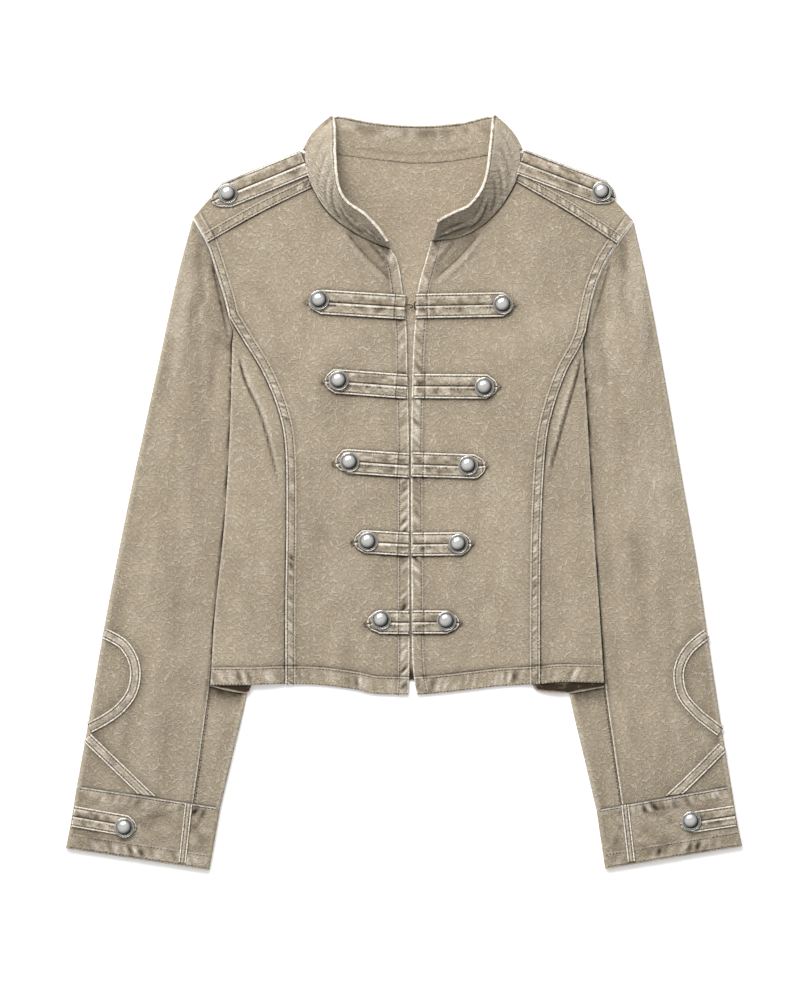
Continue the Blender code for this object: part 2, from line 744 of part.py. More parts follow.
def makeWire(name, points, radius):
    # A bent wire of the given radius, six-sided
    mesh = bmesh.new()
    spots = [Vector(point) for point in points]
    rings = []
    for index, spot in enumerate(spots):
        along = (spots[min(index + 1, len(spots) - 1)] - spots[max(index - 1, 0)]).normalized()
        aside = along.cross(Vector((0, 0, 1))).normalized()
        upward = aside.cross(along)
        ring = []
        for corner in range(6):
            turn = math.pi * corner / 3
            ring.append(mesh.verts.new((spot + (aside * math.cos(turn) + upward * math.sin(turn)) * radius) * mm))
        rings.append(ring)
    for first, second in zip(rings, rings[1:]):
        for corner in range(6):
            after = (corner + 1) % 6
            mesh.faces.new((first[corner], first[after], second[after], second[corner]))
    mesh.faces.new(rings[0])
    mesh.faces.new(rings[-1])
    addObject(name, mesh, wireTint, 0.4, 1.0)


def makeFastening():
    # Hook and eye that close the front between the top pair of tabs
    level = frontTop(5, 170) + trimGap + doubleThick / 2
    hook = [(1.5, 171.4), (4.6, 171.8), (7.3, 171.2), (7.9, 170.0), (6.9, 168.9), (5.4, 168.9)]
    eye = [(11.0, 174.0), (9.9, 173.6), (9.4, 172.0), (9.5, 169.6), (10.0, 168.2), (11.0, 167.8)]
    makeWire("hook", [(x, y, level) for x, y in hook], wireRadius)
    makeWire("eye", [(x, y, level) for x, y in eye], wireRadius)


def makeTrim(side):
    # Straps, trim and buttons of one side
    front = tabsRight if side == "right" else tabsLeft
    shoulder = shoulderStrapRight if side == "right" else shoulderStrapLeft
    wrist = cuffTabRight if side == "right" else cuffTabLeft
    for number, tab in enumerate(front, 1):
        makeTab(f"tab_{side}_{number}", tab, frontTop, trimGap)
        makeButton(f"button_{side}_{number}", tab.buttonX, tab.buttonY, frontTop, trimGap)
    makeTab(f"epaulette_{side}", shoulder, yokeTop, shoulderTrimGap)
    makeButton(f"button_epaulette_{side}", shoulder.buttonX, shoulder.buttonY, yokeTop, shoulderTrimGap)
    makeTab(f"cuff_tab_{side}", wrist, cuffTop, cuffTrimGap)
    makeButton(f"button_cuff_{side}", wrist.buttonX, wrist.buttonY, cuffTop, cuffTrimGap)
    loop, diagonal = Line(onSide(braidLoop, side)), Line(onSide(braidDiagonal, side))
    half = braidWidth / 2
    loopRows = bandRows(loop, evenly(0, 1, 14), [half] * 15)
    addBand(f"braid_loop_{side}", loopRows, sleeveTop, braidGap, braidThick)
    diagonalRows = bandRows(diagonal, evenly(0, 1, 7), [half] * 8)
    addBand(f"braid_diagonal_{side}", diagonalRows, sleeveTop, braidGap, braidThick)
    strip = Line(onSide(ventStrip, side))
    stripRows = bandRows(strip, evenly(0, 1, 3), [ventWidth / 2] * 4)
    addBand(f"cuff_vent_{side}", stripRows, cuffTop, cuffTrimGap, clothThick)


def makeJacket():
    makeBack()
    for side in ("right", "left"):
        makeFront(side)
        makeSideFront(side)
        makeYoke(side)
        makeSleeve(side)
        makeCuff(side)
        makeTrim(side)
    makeCollar()
    makeFastening()


for item in list(bpy.data.objects):
    bpy.data.objects.remove(item, do_unlink=True)
makeJacket()
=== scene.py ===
# Short stand-collar jacket of washed cotton twill, laid flat on its back and seen from straight above.
# X runs to the wearer's left, Y from hem to collar, Z up from the floor. Sizes are in millimetres
# until a mesh is made.

import math

import bpy
import numpy as np
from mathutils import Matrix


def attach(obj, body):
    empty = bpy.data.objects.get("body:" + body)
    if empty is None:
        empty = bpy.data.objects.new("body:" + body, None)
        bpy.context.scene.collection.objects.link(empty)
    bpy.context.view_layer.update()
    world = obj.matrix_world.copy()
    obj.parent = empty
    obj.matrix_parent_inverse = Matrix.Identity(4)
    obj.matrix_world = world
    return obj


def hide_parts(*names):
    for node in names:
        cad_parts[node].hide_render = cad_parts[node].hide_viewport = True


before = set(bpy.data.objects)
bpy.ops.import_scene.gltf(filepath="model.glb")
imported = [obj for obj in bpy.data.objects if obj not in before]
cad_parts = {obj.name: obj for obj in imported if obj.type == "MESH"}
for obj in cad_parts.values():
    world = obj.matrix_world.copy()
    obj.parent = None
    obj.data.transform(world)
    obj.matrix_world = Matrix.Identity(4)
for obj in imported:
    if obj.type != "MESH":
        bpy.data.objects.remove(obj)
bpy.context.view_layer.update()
print("frame loaded")

mm = 0.001

studio = {
    "middle": (-3.7, -7.8),  # mm, as the next four
    "cameraHeight": 8000.0,
    "frameTall": 920.0,
    "sensor": 36.0,
    "floorDrop": 0.3,
    "floorWide": 12.0,  # m
    "worldTop": 1.16,
    "worldLow": 0.05,
    "worldFrom": 0.16,
    "worldFull": 0.95,
    "brightWay": (-0.3, 0.36, 0.88),
    "keyPower": 112.0,  # W
    "keySize": 2.2,  # m, as its place
    "keyPlace": (-0.9, 2.2, 2.9),
    "keyShape": 0.7,
    "boardGlow": 0.2,
}


def linear(code):
    # An sRGB hex colour as linear numbers
    shares = [int(code[place : place + 2], 16) / 255 for place in (1, 3, 5)]
    straight = [share / 12.92 if share <= 0.04045 else ((share + 0.055) / 1.055) ** 2.4 for share in shares]
    return (*straight, 1.0)


def addNode(tree, kind, settings=None, links=None, values=None):
    # One node: its settings, the sockets that feed its inputs, and its own input values
    node = tree.nodes.new(kind)
    for key, value in (settings or {}).items():
        setattr(node, key, value)
    for key, value in (values or {}).items():
        node.inputs[key].default_value = value
    for key, socket in (links or {}).items():
        tree.links.new(socket, node.inputs[key])
    return node


def ranged(tree, value, start, end, low=0.0, high=1.0, smooth=False):
    # A value taken from one range to another, and held at its ends
    way = {"interpolation_type": "SMOOTHSTEP" if smooth else "LINEAR"}
    ends = {"From Min": start, "From Max": end, "To Min": low, "To Max": high}
    return addNode(tree, "ShaderNodeMapRange", way, {"Value": value}, ends).outputs[0]


def noise(tree, where, cell, detail, roughness=0.5, flat=False):
    # Soft random patches of that size in millimetres
    kind = {"noise_dimensions": "2D" if flat else "3D"}
    values = {"Scale": 1 / (cell * mm), "Detail": detail, "Roughness": roughness}
    return addNode(tree, "ShaderNodeTexNoise", kind, {"Vector": where}, values).outputs


def combined(tree, operation, first, second, clamped=False):
    # Two sockets, or a socket and a number, put together
    fixed = isinstance(second, float)
    links = {0: first} if fixed else {0: first, 1: second}
    kind = {"operation": operation, "use_clamp": clamped}
    return addNode(tree, "ShaderNodeMath", kind, links, {1: second} if fixed else None).outputs[0]


def shaded(tree, colour, strength):
    # One colour, lighter or darker by a socket
    kind, values = {"operation": "SCALE"}, {0: linear(colour)[:3]}
    return addNode(tree, "ShaderNodeVectorMath", kind, {"Scale": strength}, values).outputs[0]


def laidOver(tree, share, under, colour):
    # A colour over what another socket gives, by a share
    links, over = {"Factor": share, 6: under}, {7: linear(colour)}
    return addNode(tree, "ShaderNodeMix", {"data_type": "RGBA"}, links, over).outputs[2]


def newMaterial(name):
    made = bpy.data.materials.new(name)
    made.use_nodes = True
    tree = made.node_tree
    where = addNode(tree, "ShaderNodeTexCoord").outputs["Object"]
    return made, tree, tree.nodes["Principled BSDF"], where


def makeCamera():
    data = bpy.data.cameras.new("camera")
    data.lens = studio["sensor"] * studio["cameraHeight"] / studio["frameTall"]
    data.sensor_width = studio["sensor"]
    camera = bpy.data.objects.new("camera", data)
    camera.location = (studio["middle"][0] * mm, studio["middle"][1] * mm, studio["cameraHeight"] * mm)
    bpy.context.scene.collection.objects.link(camera)
    bpy.context.scene.camera = camera


def makeFloor():
    # Matt white painted board, faintly lit from below as a light table is, so that shadows on it stay pale
    half, low = studio["floorWide"] / 2, -studio["floorDrop"] * mm
    mesh = bpy.data.meshes.new("floor")
    corners = [(-half, -half, low), (half, -half, low), (half, half, low), (-half, half, low)]
    mesh.from_pydata(corners, [], [(0, 1, 2, 3)])
    paint = bpy.data.materials.new("mattPaintedBoard")
    paint.use_nodes = True
    shader = paint.node_tree.nodes["Principled BSDF"]
    shader.inputs["Base Color"].default_value = linear("#FBFBFA")
    shader.inputs["Roughness"].default_value = 0.9
    shader.inputs["Specular IOR Level"].default_value = 0.1
    shader.inputs["Emission Color"].default_value = (1.0, 1.0, 1.0, 1.0)
    shader.inputs["Emission Strength"].default_value = studio["boardGlow"]
    mesh.materials.append(paint)
    floor = bpy.data.objects.new("floor", mesh)
    bpy.context.scene.collection.objects.link(floor)


def makeLight():
    # A white room, brighter overhead, and one big soft lamp beyond the collar
    world = bpy.data.worlds.new("studio")
    world.use_nodes = True
    tree = world.node_tree
    way = addNode(tree, "ShaderNodeTexCoord").outputs["Generated"]
    kind, brightest = {"operation": "DOT_PRODUCT"}, {1: studio["brightWay"]}
    lean = addNode(tree, "ShaderNodeVectorMath", kind, {0: way}, brightest).outputs["Value"]
    ends = studio["worldFrom"], studio["worldFull"], studio["worldLow"], studio["worldTop"]
    tree.nodes["Background"].inputs["Color"].default_value = (1.0, 1.0, 1.0, 1.0)
    tree.links.new(ranged(tree, lean, *ends, smooth=True), tree.nodes["Background"].inputs["Strength"])
    bpy.context.scene.world = world
    lamp = bpy.data.lights.new("keyLamp", "AREA")
    lamp.shape = "RECTANGLE"
    lamp.size = studio["keySize"]
    lamp.size_y = studio["keySize"] * studio["keyShape"]
    lamp.energy = studio["keyPower"]
    holder = bpy.data.objects.new("keyLamp", lamp)
    holder.location = studio["keyPlace"]
    x, y, z = studio["keyPlace"]
    holder.rotation_euler = (math.atan2(math.hypot(x, y), z), 0.0, math.atan2(-x, y) + math.pi)
    bpy.context.scene.collection.objects.link(holder)


bpy.context.scene.view_settings.view_transform = "Standard"
makeCamera()
makeFloor()
makeLight()
print("camera, floor and light made")

# Lines of the pattern, each row: right side x, y, left side x, y

sleeveOuterEdge = [
    (-194, 252, 211, 249),
    (-209, 195, 223, 195),
    (-225, 121, 237, 121),
    (-249, 11, 256, 11),
    (-264, -63, 269, -63),
    (-278, -137, 280, -137),
    (-290, -210, 291, -210),
    (-301, -271, 301, -271),
]
sleeveInnerEdge = [
    (-90, 102, 95, 104),
    (-113, -30, 122, -30),
    (-143, -180, 151, -181),
    (-157, -240, 164, -238),
    (-169, -291, 177, -293),
]
cuffOuterEdge = [(-301, -271, 301, -271), (-306, -302, 306, -302), (-311, -328, 311, -326)]
cuffInnerEdge = [(-169, -291, 177, -293), (-174, -320, 181, -320), (-179, -348, 185, -347)]
armhole = [
    (-158, 136, 164, 138),
    (-157, 148, 167, 147),
    (-161, 161, 170, 164),
    (-165, 178, 176, 188),
    (-172, 201, 185, 210),
    (-181, 229, 196, 228),
    (-194, 252, 211, 249),
]
sideEdge = [
    (-178, -178, 184, -176),
    (-174, -113, 180, -113),
    (-165, -27, 174, -27),
    (-160, 60, 169, 60),
    (-158, 136, 164, 138),
]
princessSeam = [
    (-109, -177, 125, -177),
    (-109, -100, 125, -100),
    (-108, -30, 126, -30),
    (-109, 40, 130, 40),
    (-116, 76, 137, 76),
    (-130, 110, 149, 110),
    (-147, 138, 161, 132),
    (-161, 161, 167, 147),
]
frontEdge = [
    (4, -187, 12, -187),
    (5, -160, 8, -160),
    (5, -100, 7, -100),
    (4.5, 40, 6.5, 40),
    (3, 120, 8, 120),
    (2, 155, 10, 155),
    (-2, 190, 13, 187),
    (-6, 212, 18, 206),
    (-13, 224, 25, 231),
]
frontHem = [
    (-178, -178, 184, -176),
    (-143, -178, 146, -175),
    (-109, -177, 125, -177),
    (-77, -178, 89, -179),
    (-46, -182, 63, -182),
    (-27, -186, 36, -185),
    (4, -187, 12, -187),
]
frontNeck = [
    (-84, 280, 103, 285),
    (-73, 261, 95, 271),
    (-61, 249, 84, 256),
    (-45, 238, 69, 243),
    (-27, 229, 50, 234),
    (-13, 224, 25, 231),
]
yokeFrontSeam = [(-84, 280, 103, 285), (-133, 256, 150, 258), (-181, 229, 196, 228)]
yokeBackSeam = [(-72, 311, 88, 311), (-130, 279, 148, 277), (-188, 243, 205, 241)]
shoulderEdge = [
    (-93, 313, 109, 313),
    (-116, 305, 133, 302),
    (-152, 288, 162, 288),
    (-175, 273, 190, 271),
    (-194, 252, 211, 249),
]
backNeckMiddle = [(-72, 311), (-40, 307), (8, 302), (45, 304), (88, 311)]

cloth = {
    "thick": 1.2,
    "doubleThick": 2.0,
    "collarThick": 2.2,
    "seamGap": 0.4,
    "layerGapEdge": 0.5,
    "layerGapInside": 1.0,
    "drape": 0.9,
    "trimGap": 0.7,
    "shoulderTrimGap": 1.2,
    "cuffTrimGap": 0.35,
    "shoulderStrapGap": 0.9,
    "braidGap": 0.6,
    "sleeveFlat": 2.9,
    "sleevePuff": 2.6,
    "puffFrom": 10.0,
    "puffReach": 30.0,
    "tuckLift": 3.9,
    "tuckRamp": 40.0,
    "tuckFullBy": 9.0,
    "underarmFrom": 12.0,
    "underarmRamp": 36.0,
    "cuffHigh": 6.0,
}


def smoothStep(share):
    share = np.clip(share, 0.0, 1.0)
    return share * share * (3 - 2 * share)


def hump(distance, middle, width):
    return np.exp(-(((distance - middle) / width) ** 2))


noiseSize = 97  # cells before the random heights repeat


def softNoise(x, y, cell, seed):
    # Smooth random heights between -1 and 1, one for each cell of that size in millimetres
    table = np.random.default_rng(seed).uniform(-1, 1, (noiseSize, noiseSize))
    across, up = x / cell + 1000, y / cell + 1000  # far from zero, so that no cell number is negative
    column, row = np.floor(across).astype(int), np.floor(up).astype(int)
    fx, fy = smoothStep(across - column), smoothStep(up - row)
    left, right = column % noiseSize, (column + 1) % noiseSize
    low, high = row % noiseSize, (row + 1) % noiseSize
    near = table[low, left] * (1 - fx) + table[low, right] * fx
    far = table[high, left] * (1 - fx) + table[high, right] * fx
    return near * (1 - fy) + far * fy


def roundedLine(points, parts=6):
    # A smooth curve through the points, as a close chain
    chain = np.vstack([points[0] * 2 - points[1], points, points[-1] * 2 - points[-2]])
    line = []
    for before, start, end, after in zip(chain, chain[1:], chain[2:], chain[3:]):
        for part in range(parts):
            t = part / parts
            line.append(
                0.5
                * (
                    2 * start
                    + (end - before) * t
                    + (2 * before - 5 * start + 4 * end - after) * t**2
                    + (3 * start - before - 3 * end + after) * t**3
                )
            )
    return np.array([*line, points[-1]])


class Line:
    # A line read by its share of the length, through one or more stretches of points
    def __init__(self, *stretches):
        chains = []
        for stretch in stretches:
            corners = np.array(stretch, float)
            chain = roundedLine(corners) if len(corners) > 2 else corners
            chains.append(chain if not chains else chain[1:])
        self.points = np.vstack(chains)
        runs = np.linalg.norm(np.diff(self.points, axis=0), axis=1)
        self.marks = np.concatenate([[0.0], np.cumsum(runs)])
        self.length = self.marks[-1]

    def at(self, share):
        goal = np.clip(share, 0.0, 1.0) * self.length
        return np.stack([np.interp(goal, self.marks, column) for column in self.points.T], -1)

    def heading(self, share):
        run = self.at(np.clip(share + 0.004, 0, 1)) - self.at(np.clip(share - 0.004, 0, 1))
        return run / np.linalg.norm(run, axis=-1, keepdims=True)


def onSide(table, side):
    rows = np.array(table, float)
    return rows[:, :2] if side == "right" else rows[:, 2:]


def patch(left, right, bottom, top):
    # The plan surface between four border lines, left and right both running from bottom to top
    startLeft, startRight, endLeft, endRight = left.at(0.0), right.at(0.0), left.at(1.0), right.at(1.0)

    def place(u, v):
        u, v = np.broadcast_arrays(np.asarray(u, float), np.asarray(v, float))
        w, t = u[..., None], v[..., None]
        sides = left.at(v) * (1 - w) + right.at(v) * w
        ends = bottom.at(u) * (1 - t) + top.at(u) * t
        corners = (startLeft * (1 - w) + startRight * w) * (1 - t) + (endLeft * (1 - w) + endRight * w) * t
        return sides + ends - corners

    return place


def lineReach(x, y, line):
    # Distance of each place from a plan line, how far along the line that is, and its side (left is plus)
    best, along, sideOf = np.full(np.shape(x), 1e9), np.zeros(np.shape(x)), np.ones(np.shape(x))
    for mark, start, end in zip(line.marks, line.points, line.points[1:]):
        run = end - start
        size = max(float(run @ run), 1e-9)
        share = np.clip(((x - start[0]) * run[0] + (y - start[1]) * run[1]) / size, 0, 1)
        gapX, gapY = x - start[0] - share * run[0], y - start[1] - share * run[1]
        gap = np.hypot(gapX, gapY)
        closer = gap < best
        best = np.where(closer, gap, best)
        along = np.where(closer, mark + share * math.sqrt(size), along)
        sideOf = np.where(closer, np.sign(run[0] * gapY - run[1] * gapX), sideOf)
    return best, along, sideOf


bodyOutline = Line(
    onSide(sideEdge, "right"),
    onSide(armhole, "right"),
    onSide(shoulderEdge, "right")[::-1],
    [(-93, 313), (109, 313)],
    onSide(shoulderEdge, "left"),
    onSide(armhole, "left")[::-1],
    onSide(sideEdge, "left")[::-1],
    [(184, -176), (-178, -178)],
)


def insideBody(x, y):
    inside = np.zeros(np.shape(x), bool)
    for start, end in zip(bodyOutline.points, bodyOutline.points[1:]):
        if start[1] == end[1]:
            continue
        crosses = (start[1] > y) != (end[1] > y)
        inside ^= crosses & (x < start[0] + (end[0] - start[0]) * (y - start[1]) / (end[1] - start[1]))
    return inside


def tuckedRise(x, y):
    # The body rides up over the strip of each sleeve that is tucked under it
    rise = 0.0
    for side, turn in (("right", 1), ("left", -1)):
        edge = onSide(sleeveInnerEdge, side)
        top, low, underarm = edge[0], edge[2], onSide(armhole, side)[0]
        edgeX = low[0] + (top[0] - low[0]) * (y - low[1]) / (top[1] - low[1])
        edgeY = underarm[1] + (top[1] - underarm[1]) * (x - underarm[0]) / (top[0] - underarm[0])
        edgeY = np.clip(edgeY, top[1], underarm[1])
        over = turn * (edgeX - x)
        across = smoothStep((over + cloth["tuckFullBy"] + cloth["tuckRamp"]) / cloth["tuckRamp"])
        rise = rise + cloth["tuckLift"] * across * (
            1 - smoothStep((y - edgeY - cloth["underarmFrom"]) / cloth["underarmRamp"])
        )
    return rise


def backTop(x, y):
    return cloth["thick"] + tuckedRise(x, y)


# Folds and creases
# Each is a path in plan, how wide it falls off on its left and on its right, its height, and its painted
# shade (plus) or painted highlight (minus)

frontCreases = {
    "right": [
        ([(-153, 128), (-146, 101), (-132, 70), (-121, 30), (-114, -4)], 1.4, 1.5, -1.2, 0.9),
        ([(-150, 126), (-142, 100), (-128, 70), (-118, 30), (-111, -4)], 2.4, 2.6, 0.9, -0.22),
        ([(-53, 240), (-36, 220), (-21, 205), (-6, 190)], 6.5, 1.4, -1.8, 0.3),
        ([(-54, 239), (-37, 219), (-22, 204), (-7, 189)], 1.1, 1.1, -0.6, 0.7),
        ([(-57, 237), (-40, 216), (-25, 200), (-11, 187)], 2.0, 3.0, 1.3, -0.08),
        ([(-33, 229), (-22, 217), (-12, 205)], 2.6, 1.5, -0.9, 0.35),
        ([(-27, 228), (-17, 218), (-9, 208)], 1.6, 1.6, 0.7, -0.3),
        ([(-20, -55), (-45, -78), (-62, -110)], 9.0, 9.0, 0.7, 0.0),
        ([(-28, 88), (-44, 70), (-70, 40)], 9.0, 7.0, 0.55, 0.0),
        ([(-70, 160), (-78, 110), (-90, 60)], 11.0, 11.0, 0.7, 0.0),
        ([(-30, 150), (-60, 132), (-90, 128)], 8.0, 9.0, 0.45, 0.0),
        ([(-20, 10), (-40, -8), (-66, -20)], 7.0, 7.0, 0.5, 0.0),
        ([(-150, 20), (-146, -60), (-148, -150)], 9.0, 9.0, 0.8, 0.0),
        ([(-88, -20), (-82, -90), (-86, -150)], 12.0, 12.0, 0.6, 0.0),
        ([(-30, -130), (-36, -150), (-33, -168)], 5.0, 5.0, 0.8, 0.0),
        ([(-60, -135), (-62, -152), (-58, -168)], 6.0, 6.0, 0.6, 0.0),
    ],
    "left": [
        ([(163.5, 128), (158, 102), (149, 71), (137, 27), (130.5, -2)], 1.5, 1.4, -1.2, 0.9),
        ([(160, 127), (154, 101), (145, 71), (133, 27), (128, -2)], 2.6, 2.4, 0.9, -0.22),
        ([(70, 240), (52, 219), (36, 204), (20, 190)], 1.4, 6.0, -1.8, 0.28),
        ([(71, 239), (53, 218), (37, 203), (21, 189)], 1.1, 1.1, -0.6, 0.7),
        ([(74, 237), (57, 215), (40, 199), (25, 187)], 3.0, 2.0, 1.3, -0.08),
        ([(48, 231), (37, 217), (28, 205)], 1.5, 2.6, -0.9, 0.35),
        ([(42, 230), (32, 218), (24, 208)], 1.6, 1.6, 0.7, -0.3),
        ([(36, -55), (60, -76), (76, -108)], 9.0, 9.0, 0.6, 0.0),
        ([(40, 88), (60, 70), (86, 42)], 9.0, 7.0, 0.55, 0.0),
        ([(86, 160), (96, 110), (108, 60)], 11.0, 11.0, 0.7, 0.0),
        ([(44, 150), (74, 134), (104, 130)], 8.0, 9.0, 0.45, 0.0),
        ([(34, 12), (56, -8), (82, -20)], 7.0, 7.0, 0.5, 0.0),
        ([(158, 20), (155, -60), (157, -150)], 9.0, 9.0, 0.8, 0.0),
        ([(104, -20), (98, -90), (102, -150)], 12.0, 12.0, 0.6, 0.0),
        ([(44, -130), (50, -150), (47, -168)], 5.0, 5.0, 0.8, 0.0),
        ([(76, -135), (78, -152), (74, -168)], 6.0, 6.0, 0.6, 0.0),
    ],
}
sleeveCreases = {
    "right": [
        ([(-206, 190), (-200, 120), (-196, 40)], 10.0, 12.0, 1.6, 0.0),
        ([(-186, 120), (-190, 60), (-200, -20)], 9.0, 6.0, -1.0, 0.12),
        ([(-232, 20), (-222, -60), (-216, -130)], 12.0, 12.0, 1.5, 0.0),
        ([(-196, -30), (-210, -100), (-212, -170)], 8.0, 9.0, -0.9, 0.1),
        ([(-252, -40), (-262, -100), (-266, -160)], 6.0, 8.0, -0.8, 0.1),
        ([(-236, -150), (-228, -210), (-226, -262)], 12.0, 12.0, 1.2, 0.0),
        ([(-196, -190), (-202, -235), (-204, -276)], 8.0, 8.0, 0.9, 0.0),
        ([(-178, 214), (-170, 178), (-164, 150), (-160, 128)], 2.0, 2.0, -0.5, 0.5),
        ([(-168, 148), (-176, 120), (-178, 80)], 5.0, 4.0, -1.2, 0.2),
        ([(-186, 232), (-188, 200), (-184, 160)], 4.0, 4.0, -0.8, 0.25),
        ([(-180, 205), (-190, 190), (-196, 160)], 5.0, 6.0, 0.9, 0.0),
    ],
    "left": [
        ([(222, 190), (212, 120), (208, 40)], 12.0, 10.0, 1.6, 0.0),
        ([(196, 120), (200, 60), (210, -20)], 6.0, 9.0, -1.0, 0.12),
        ([(244, 20), (234, -60), (226, -130)], 12.0, 12.0, 1.5, 0.0),
        ([(206, -30), (220, -100), (220, -170)], 9.0, 8.0, -0.9, 0.1),
        ([(262, -40), (270, -100), (272, -160)], 8.0, 6.0, -0.8, 0.1),
        ([(244, -150), (236, -210), (234, -262)], 12.0, 12.0, 1.2, 0.0),
        ([(206, -190), (212, -235), (214, -276)], 8.0, 8.0, 0.9, 0.0),
        ([(190, 214), (182, 184), (174, 158), (170, 134)], 2.0, 2.0, -0.5, 0.5),
        ([(176, 150), (184, 120), (186, 80)], 4.0, 5.0, -1.2, 0.2),
        ([(200, 230), (202, 200), (198, 160)], 4.0, 4.0, -0.8, 0.25),
        ([(190, 205), (202, 190), (208, 160)], 6.0, 5.0, 0.9, 0.0),
    ],
}
sleeveRidges = {
    "right": [(-206, 170, -196, 60, 12, 0.9), (-236, -40, -214, -120, 14, 0.8)],
    "left": [(222, 160, 204, 50, 12, 0.9), (246, -30, 222, -110, 14, 0.8)],
}


def creased(x, y, table):
    # Height and painted light that the creases of a table give: shade in troughs, highlights on ridges
    rise, dark = np.zeros(np.shape(x)), np.zeros(np.shape(x))
    for path, leftWide, rightWide, height, darkness in table:
        line = Line(path)
        away, along, sideOf = lineReach(x, y, line)
        share = along / line.length
        taper = smoothStep(share / 0.12) * smoothStep((1 - share) / 0.3)
        wide = np.where(sideOf > 0, leftWide, rightWide)
        rise += height * taper * hump(away, 0, wide)
        # Painted shade where the darkness is plus, painted highlight where it is minus
        dark += darkness * taper * hump(away, 0, wide * 0.75)
    return rise, dark


# How sewn edges look
# band: how wide the sewn band is, rise: how much it stands up, rows: its stitch rows, wave: spacing of
# its puckers and how high they are, slant: how far they lean, pale: worn edge, ditch: painted shade, with a
# little soil, beyond the band
seamStyles = {
    "fell": {
        "band": 9.0, "rise": 0.6, "rows": (1.9, 7.4), "wave": 5.2, "waveRise": 0.36, "slant": 0.8,
        "pale": 1.0, "inner": 0.3, "ditch": 0.28,
    },
    "facing": {
        "band": 10.0, "rise": 0.35, "rows": (9.0,), "wave": 8.0, "waveRise": 0.4, "slant": 0.9,
        "pale": 1.2, "inner": 0.3, "ditch": 0.3,
    },
    "hem": {
        "band": 16.0, "rise": 0.6, "rows": (14.6,), "wave": 8.5, "waveRise": 0.4, "slant": 0.3,
        "pale": 0.45, "inner": 0.35, "ditch": 0.6,
    },
    "cuffTop": {
        "band": 11.0, "rise": 0.0, "rows": (1.9,), "wave": 8.0, "waveRise": 0.5, "slant": 0.3,
        "pale": 1.15, "inner": 0.0, "ditch": 0.0,
    },
    "cuffHem": {
        "band": 13.5, "rise": 0.15, "rows": (12.5, 1.6), "wave": 9.5, "waveRise": 0.36, "slant": 0.5,
        "pale": 0.3, "inner": 0.25, "ditch": 0.2,
    },
    "collarEdge": {
        "band": 4.0, "rise": 0.0, "rows": (2.6,), "wave": 7.0, "waveRise": 0.16, "slant": 0.2,
        "pale": 0.9, "inner": 0.0, "ditch": 0.1,
    },
}


def seamLook(away, along, style, seed=1):
    # Rise, pale wear with painted highlights, and painted shade with a little soil beside a sewn edge, by the
    # distance from it and the place along it
    look = seamStyles[style]
    band, wave, rows = look["band"], look["wave"], look["rows"]
    on = smoothStep((band + 0.4 - away) / 0.9)
    rise = look["rise"] * on - 0.55 * (1 - np.clip(away / 0.9, 0, 1)) ** 2
    fray = 0.8 + 0.25 * softNoise(along, along * 0 + seed * 5.0, 4.0, seed + 60)
    worn = look["pale"] * fray * hump(away, 0.3, 0.8) + look["inner"] * fray * hump(away, band - 0.4, 0.7)
    # Painted shade in the ditch beyond the band, with a little soil
    soil = look["ditch"] * (hump(away, band + 0.8, 0.75) + 0.3 * hump(away, band + 2.0, 3.0))
    uneven = softNoise(along, away * 0.3 + seed * 37.0, wave * 1.7, seed)
    leaning = along + look["slant"] * away
    beat = 0.4 * np.sin(2 * math.pi * leaning / wave + uneven * 3.8)
    beat = beat + 1.1 * softNoise(leaning, away * 0.12 + seed * 23.0, wave * 0.5, seed + 9)
    strength = np.clip(0.65 + 0.9 * softNoise(along, away * 0.6 + seed * 11.0, wave * 1.6, seed + 5), 0, 1.3)
    inner = rows[1] if len(rows) > 1 and rows[1] > rows[0] else (rows[0] if rows[0] > band / 2 else band)
    outer = min(rows) if min(rows) < band / 2 else 0.8
    window = hump(away, (inner + outer) / 2, (inner - outer) * 0.42) * smoothStep((inner + 0.6 - away) / 1.0)
    rise = rise + look["waveRise"] * beat * strength * window
    # Painted highlights on the pucker crests and painted shade in their troughs
    worn = worn + 0.7 * np.clip(beat, 0, 1) * strength * window
    soil = soil + 0.66 * np.clip(-beat, 0, 1) * strength * window
    # Each stitch row sinks, with painted shade in its furrow and a painted highlight beside it
    for row in rows:
        rise = rise - 0.26 * hump(away, row, 0.55)
        soil = soil + 0.34 * hump(away, row, 0.6)
        worn = worn + 0.18 * hump(away, row + 1.1, 0.6)
    return rise, worn, soil


def underLook(away):
    # The cloth that goes in under a neighbour: it dips, and darkens with painted shade and a little soil
    # beside the neighbour's edge
    return -0.45 * np.exp(-away / 1.8), 0.95 * hump(away, 0, 1.15) + 0.26 * np.exp(-away / 4.5)


# Materials

weave = {
    "base": "#A89A84",
    "inside": "#AFA08A",
    # pale: wear and painted highlights; dark: painted shade with a little soil; the hollow colour: painted
    # shade beside the crazing lines
    "pale": "#F3EBDD",
    "dark": "#332719",
    "crazing": "#DDD3C2",
    "hollowShade": "#6A5A44",
    "lineShare": 0.34,
    "hollowShadeShare": 0.2,
    "lineCells": (5.4, 8.6),
    "layerShift": (0.37, 0.21),
    "lineWide": 0.72,
    "lineThin": 0.1,
    "lineCurl": 4.6,
    "lineSway": 4.4,
    "lineBreaks": 5.0,
    "hollowFrom": 2.8,
    "hollowTo": 1.4,
    "twillApart": 4.2448,
    "twillBend": 1.2,
    "threadHigh": 0.5,
    "cloud": 60.0,
    "fine": 9.0,
    "bump": 0.8,
    "bumpDeep": 0.0007,
    "specular": 0.25,
    "sheen": 0.12,
    "sheenRoughness": 0.5,
}


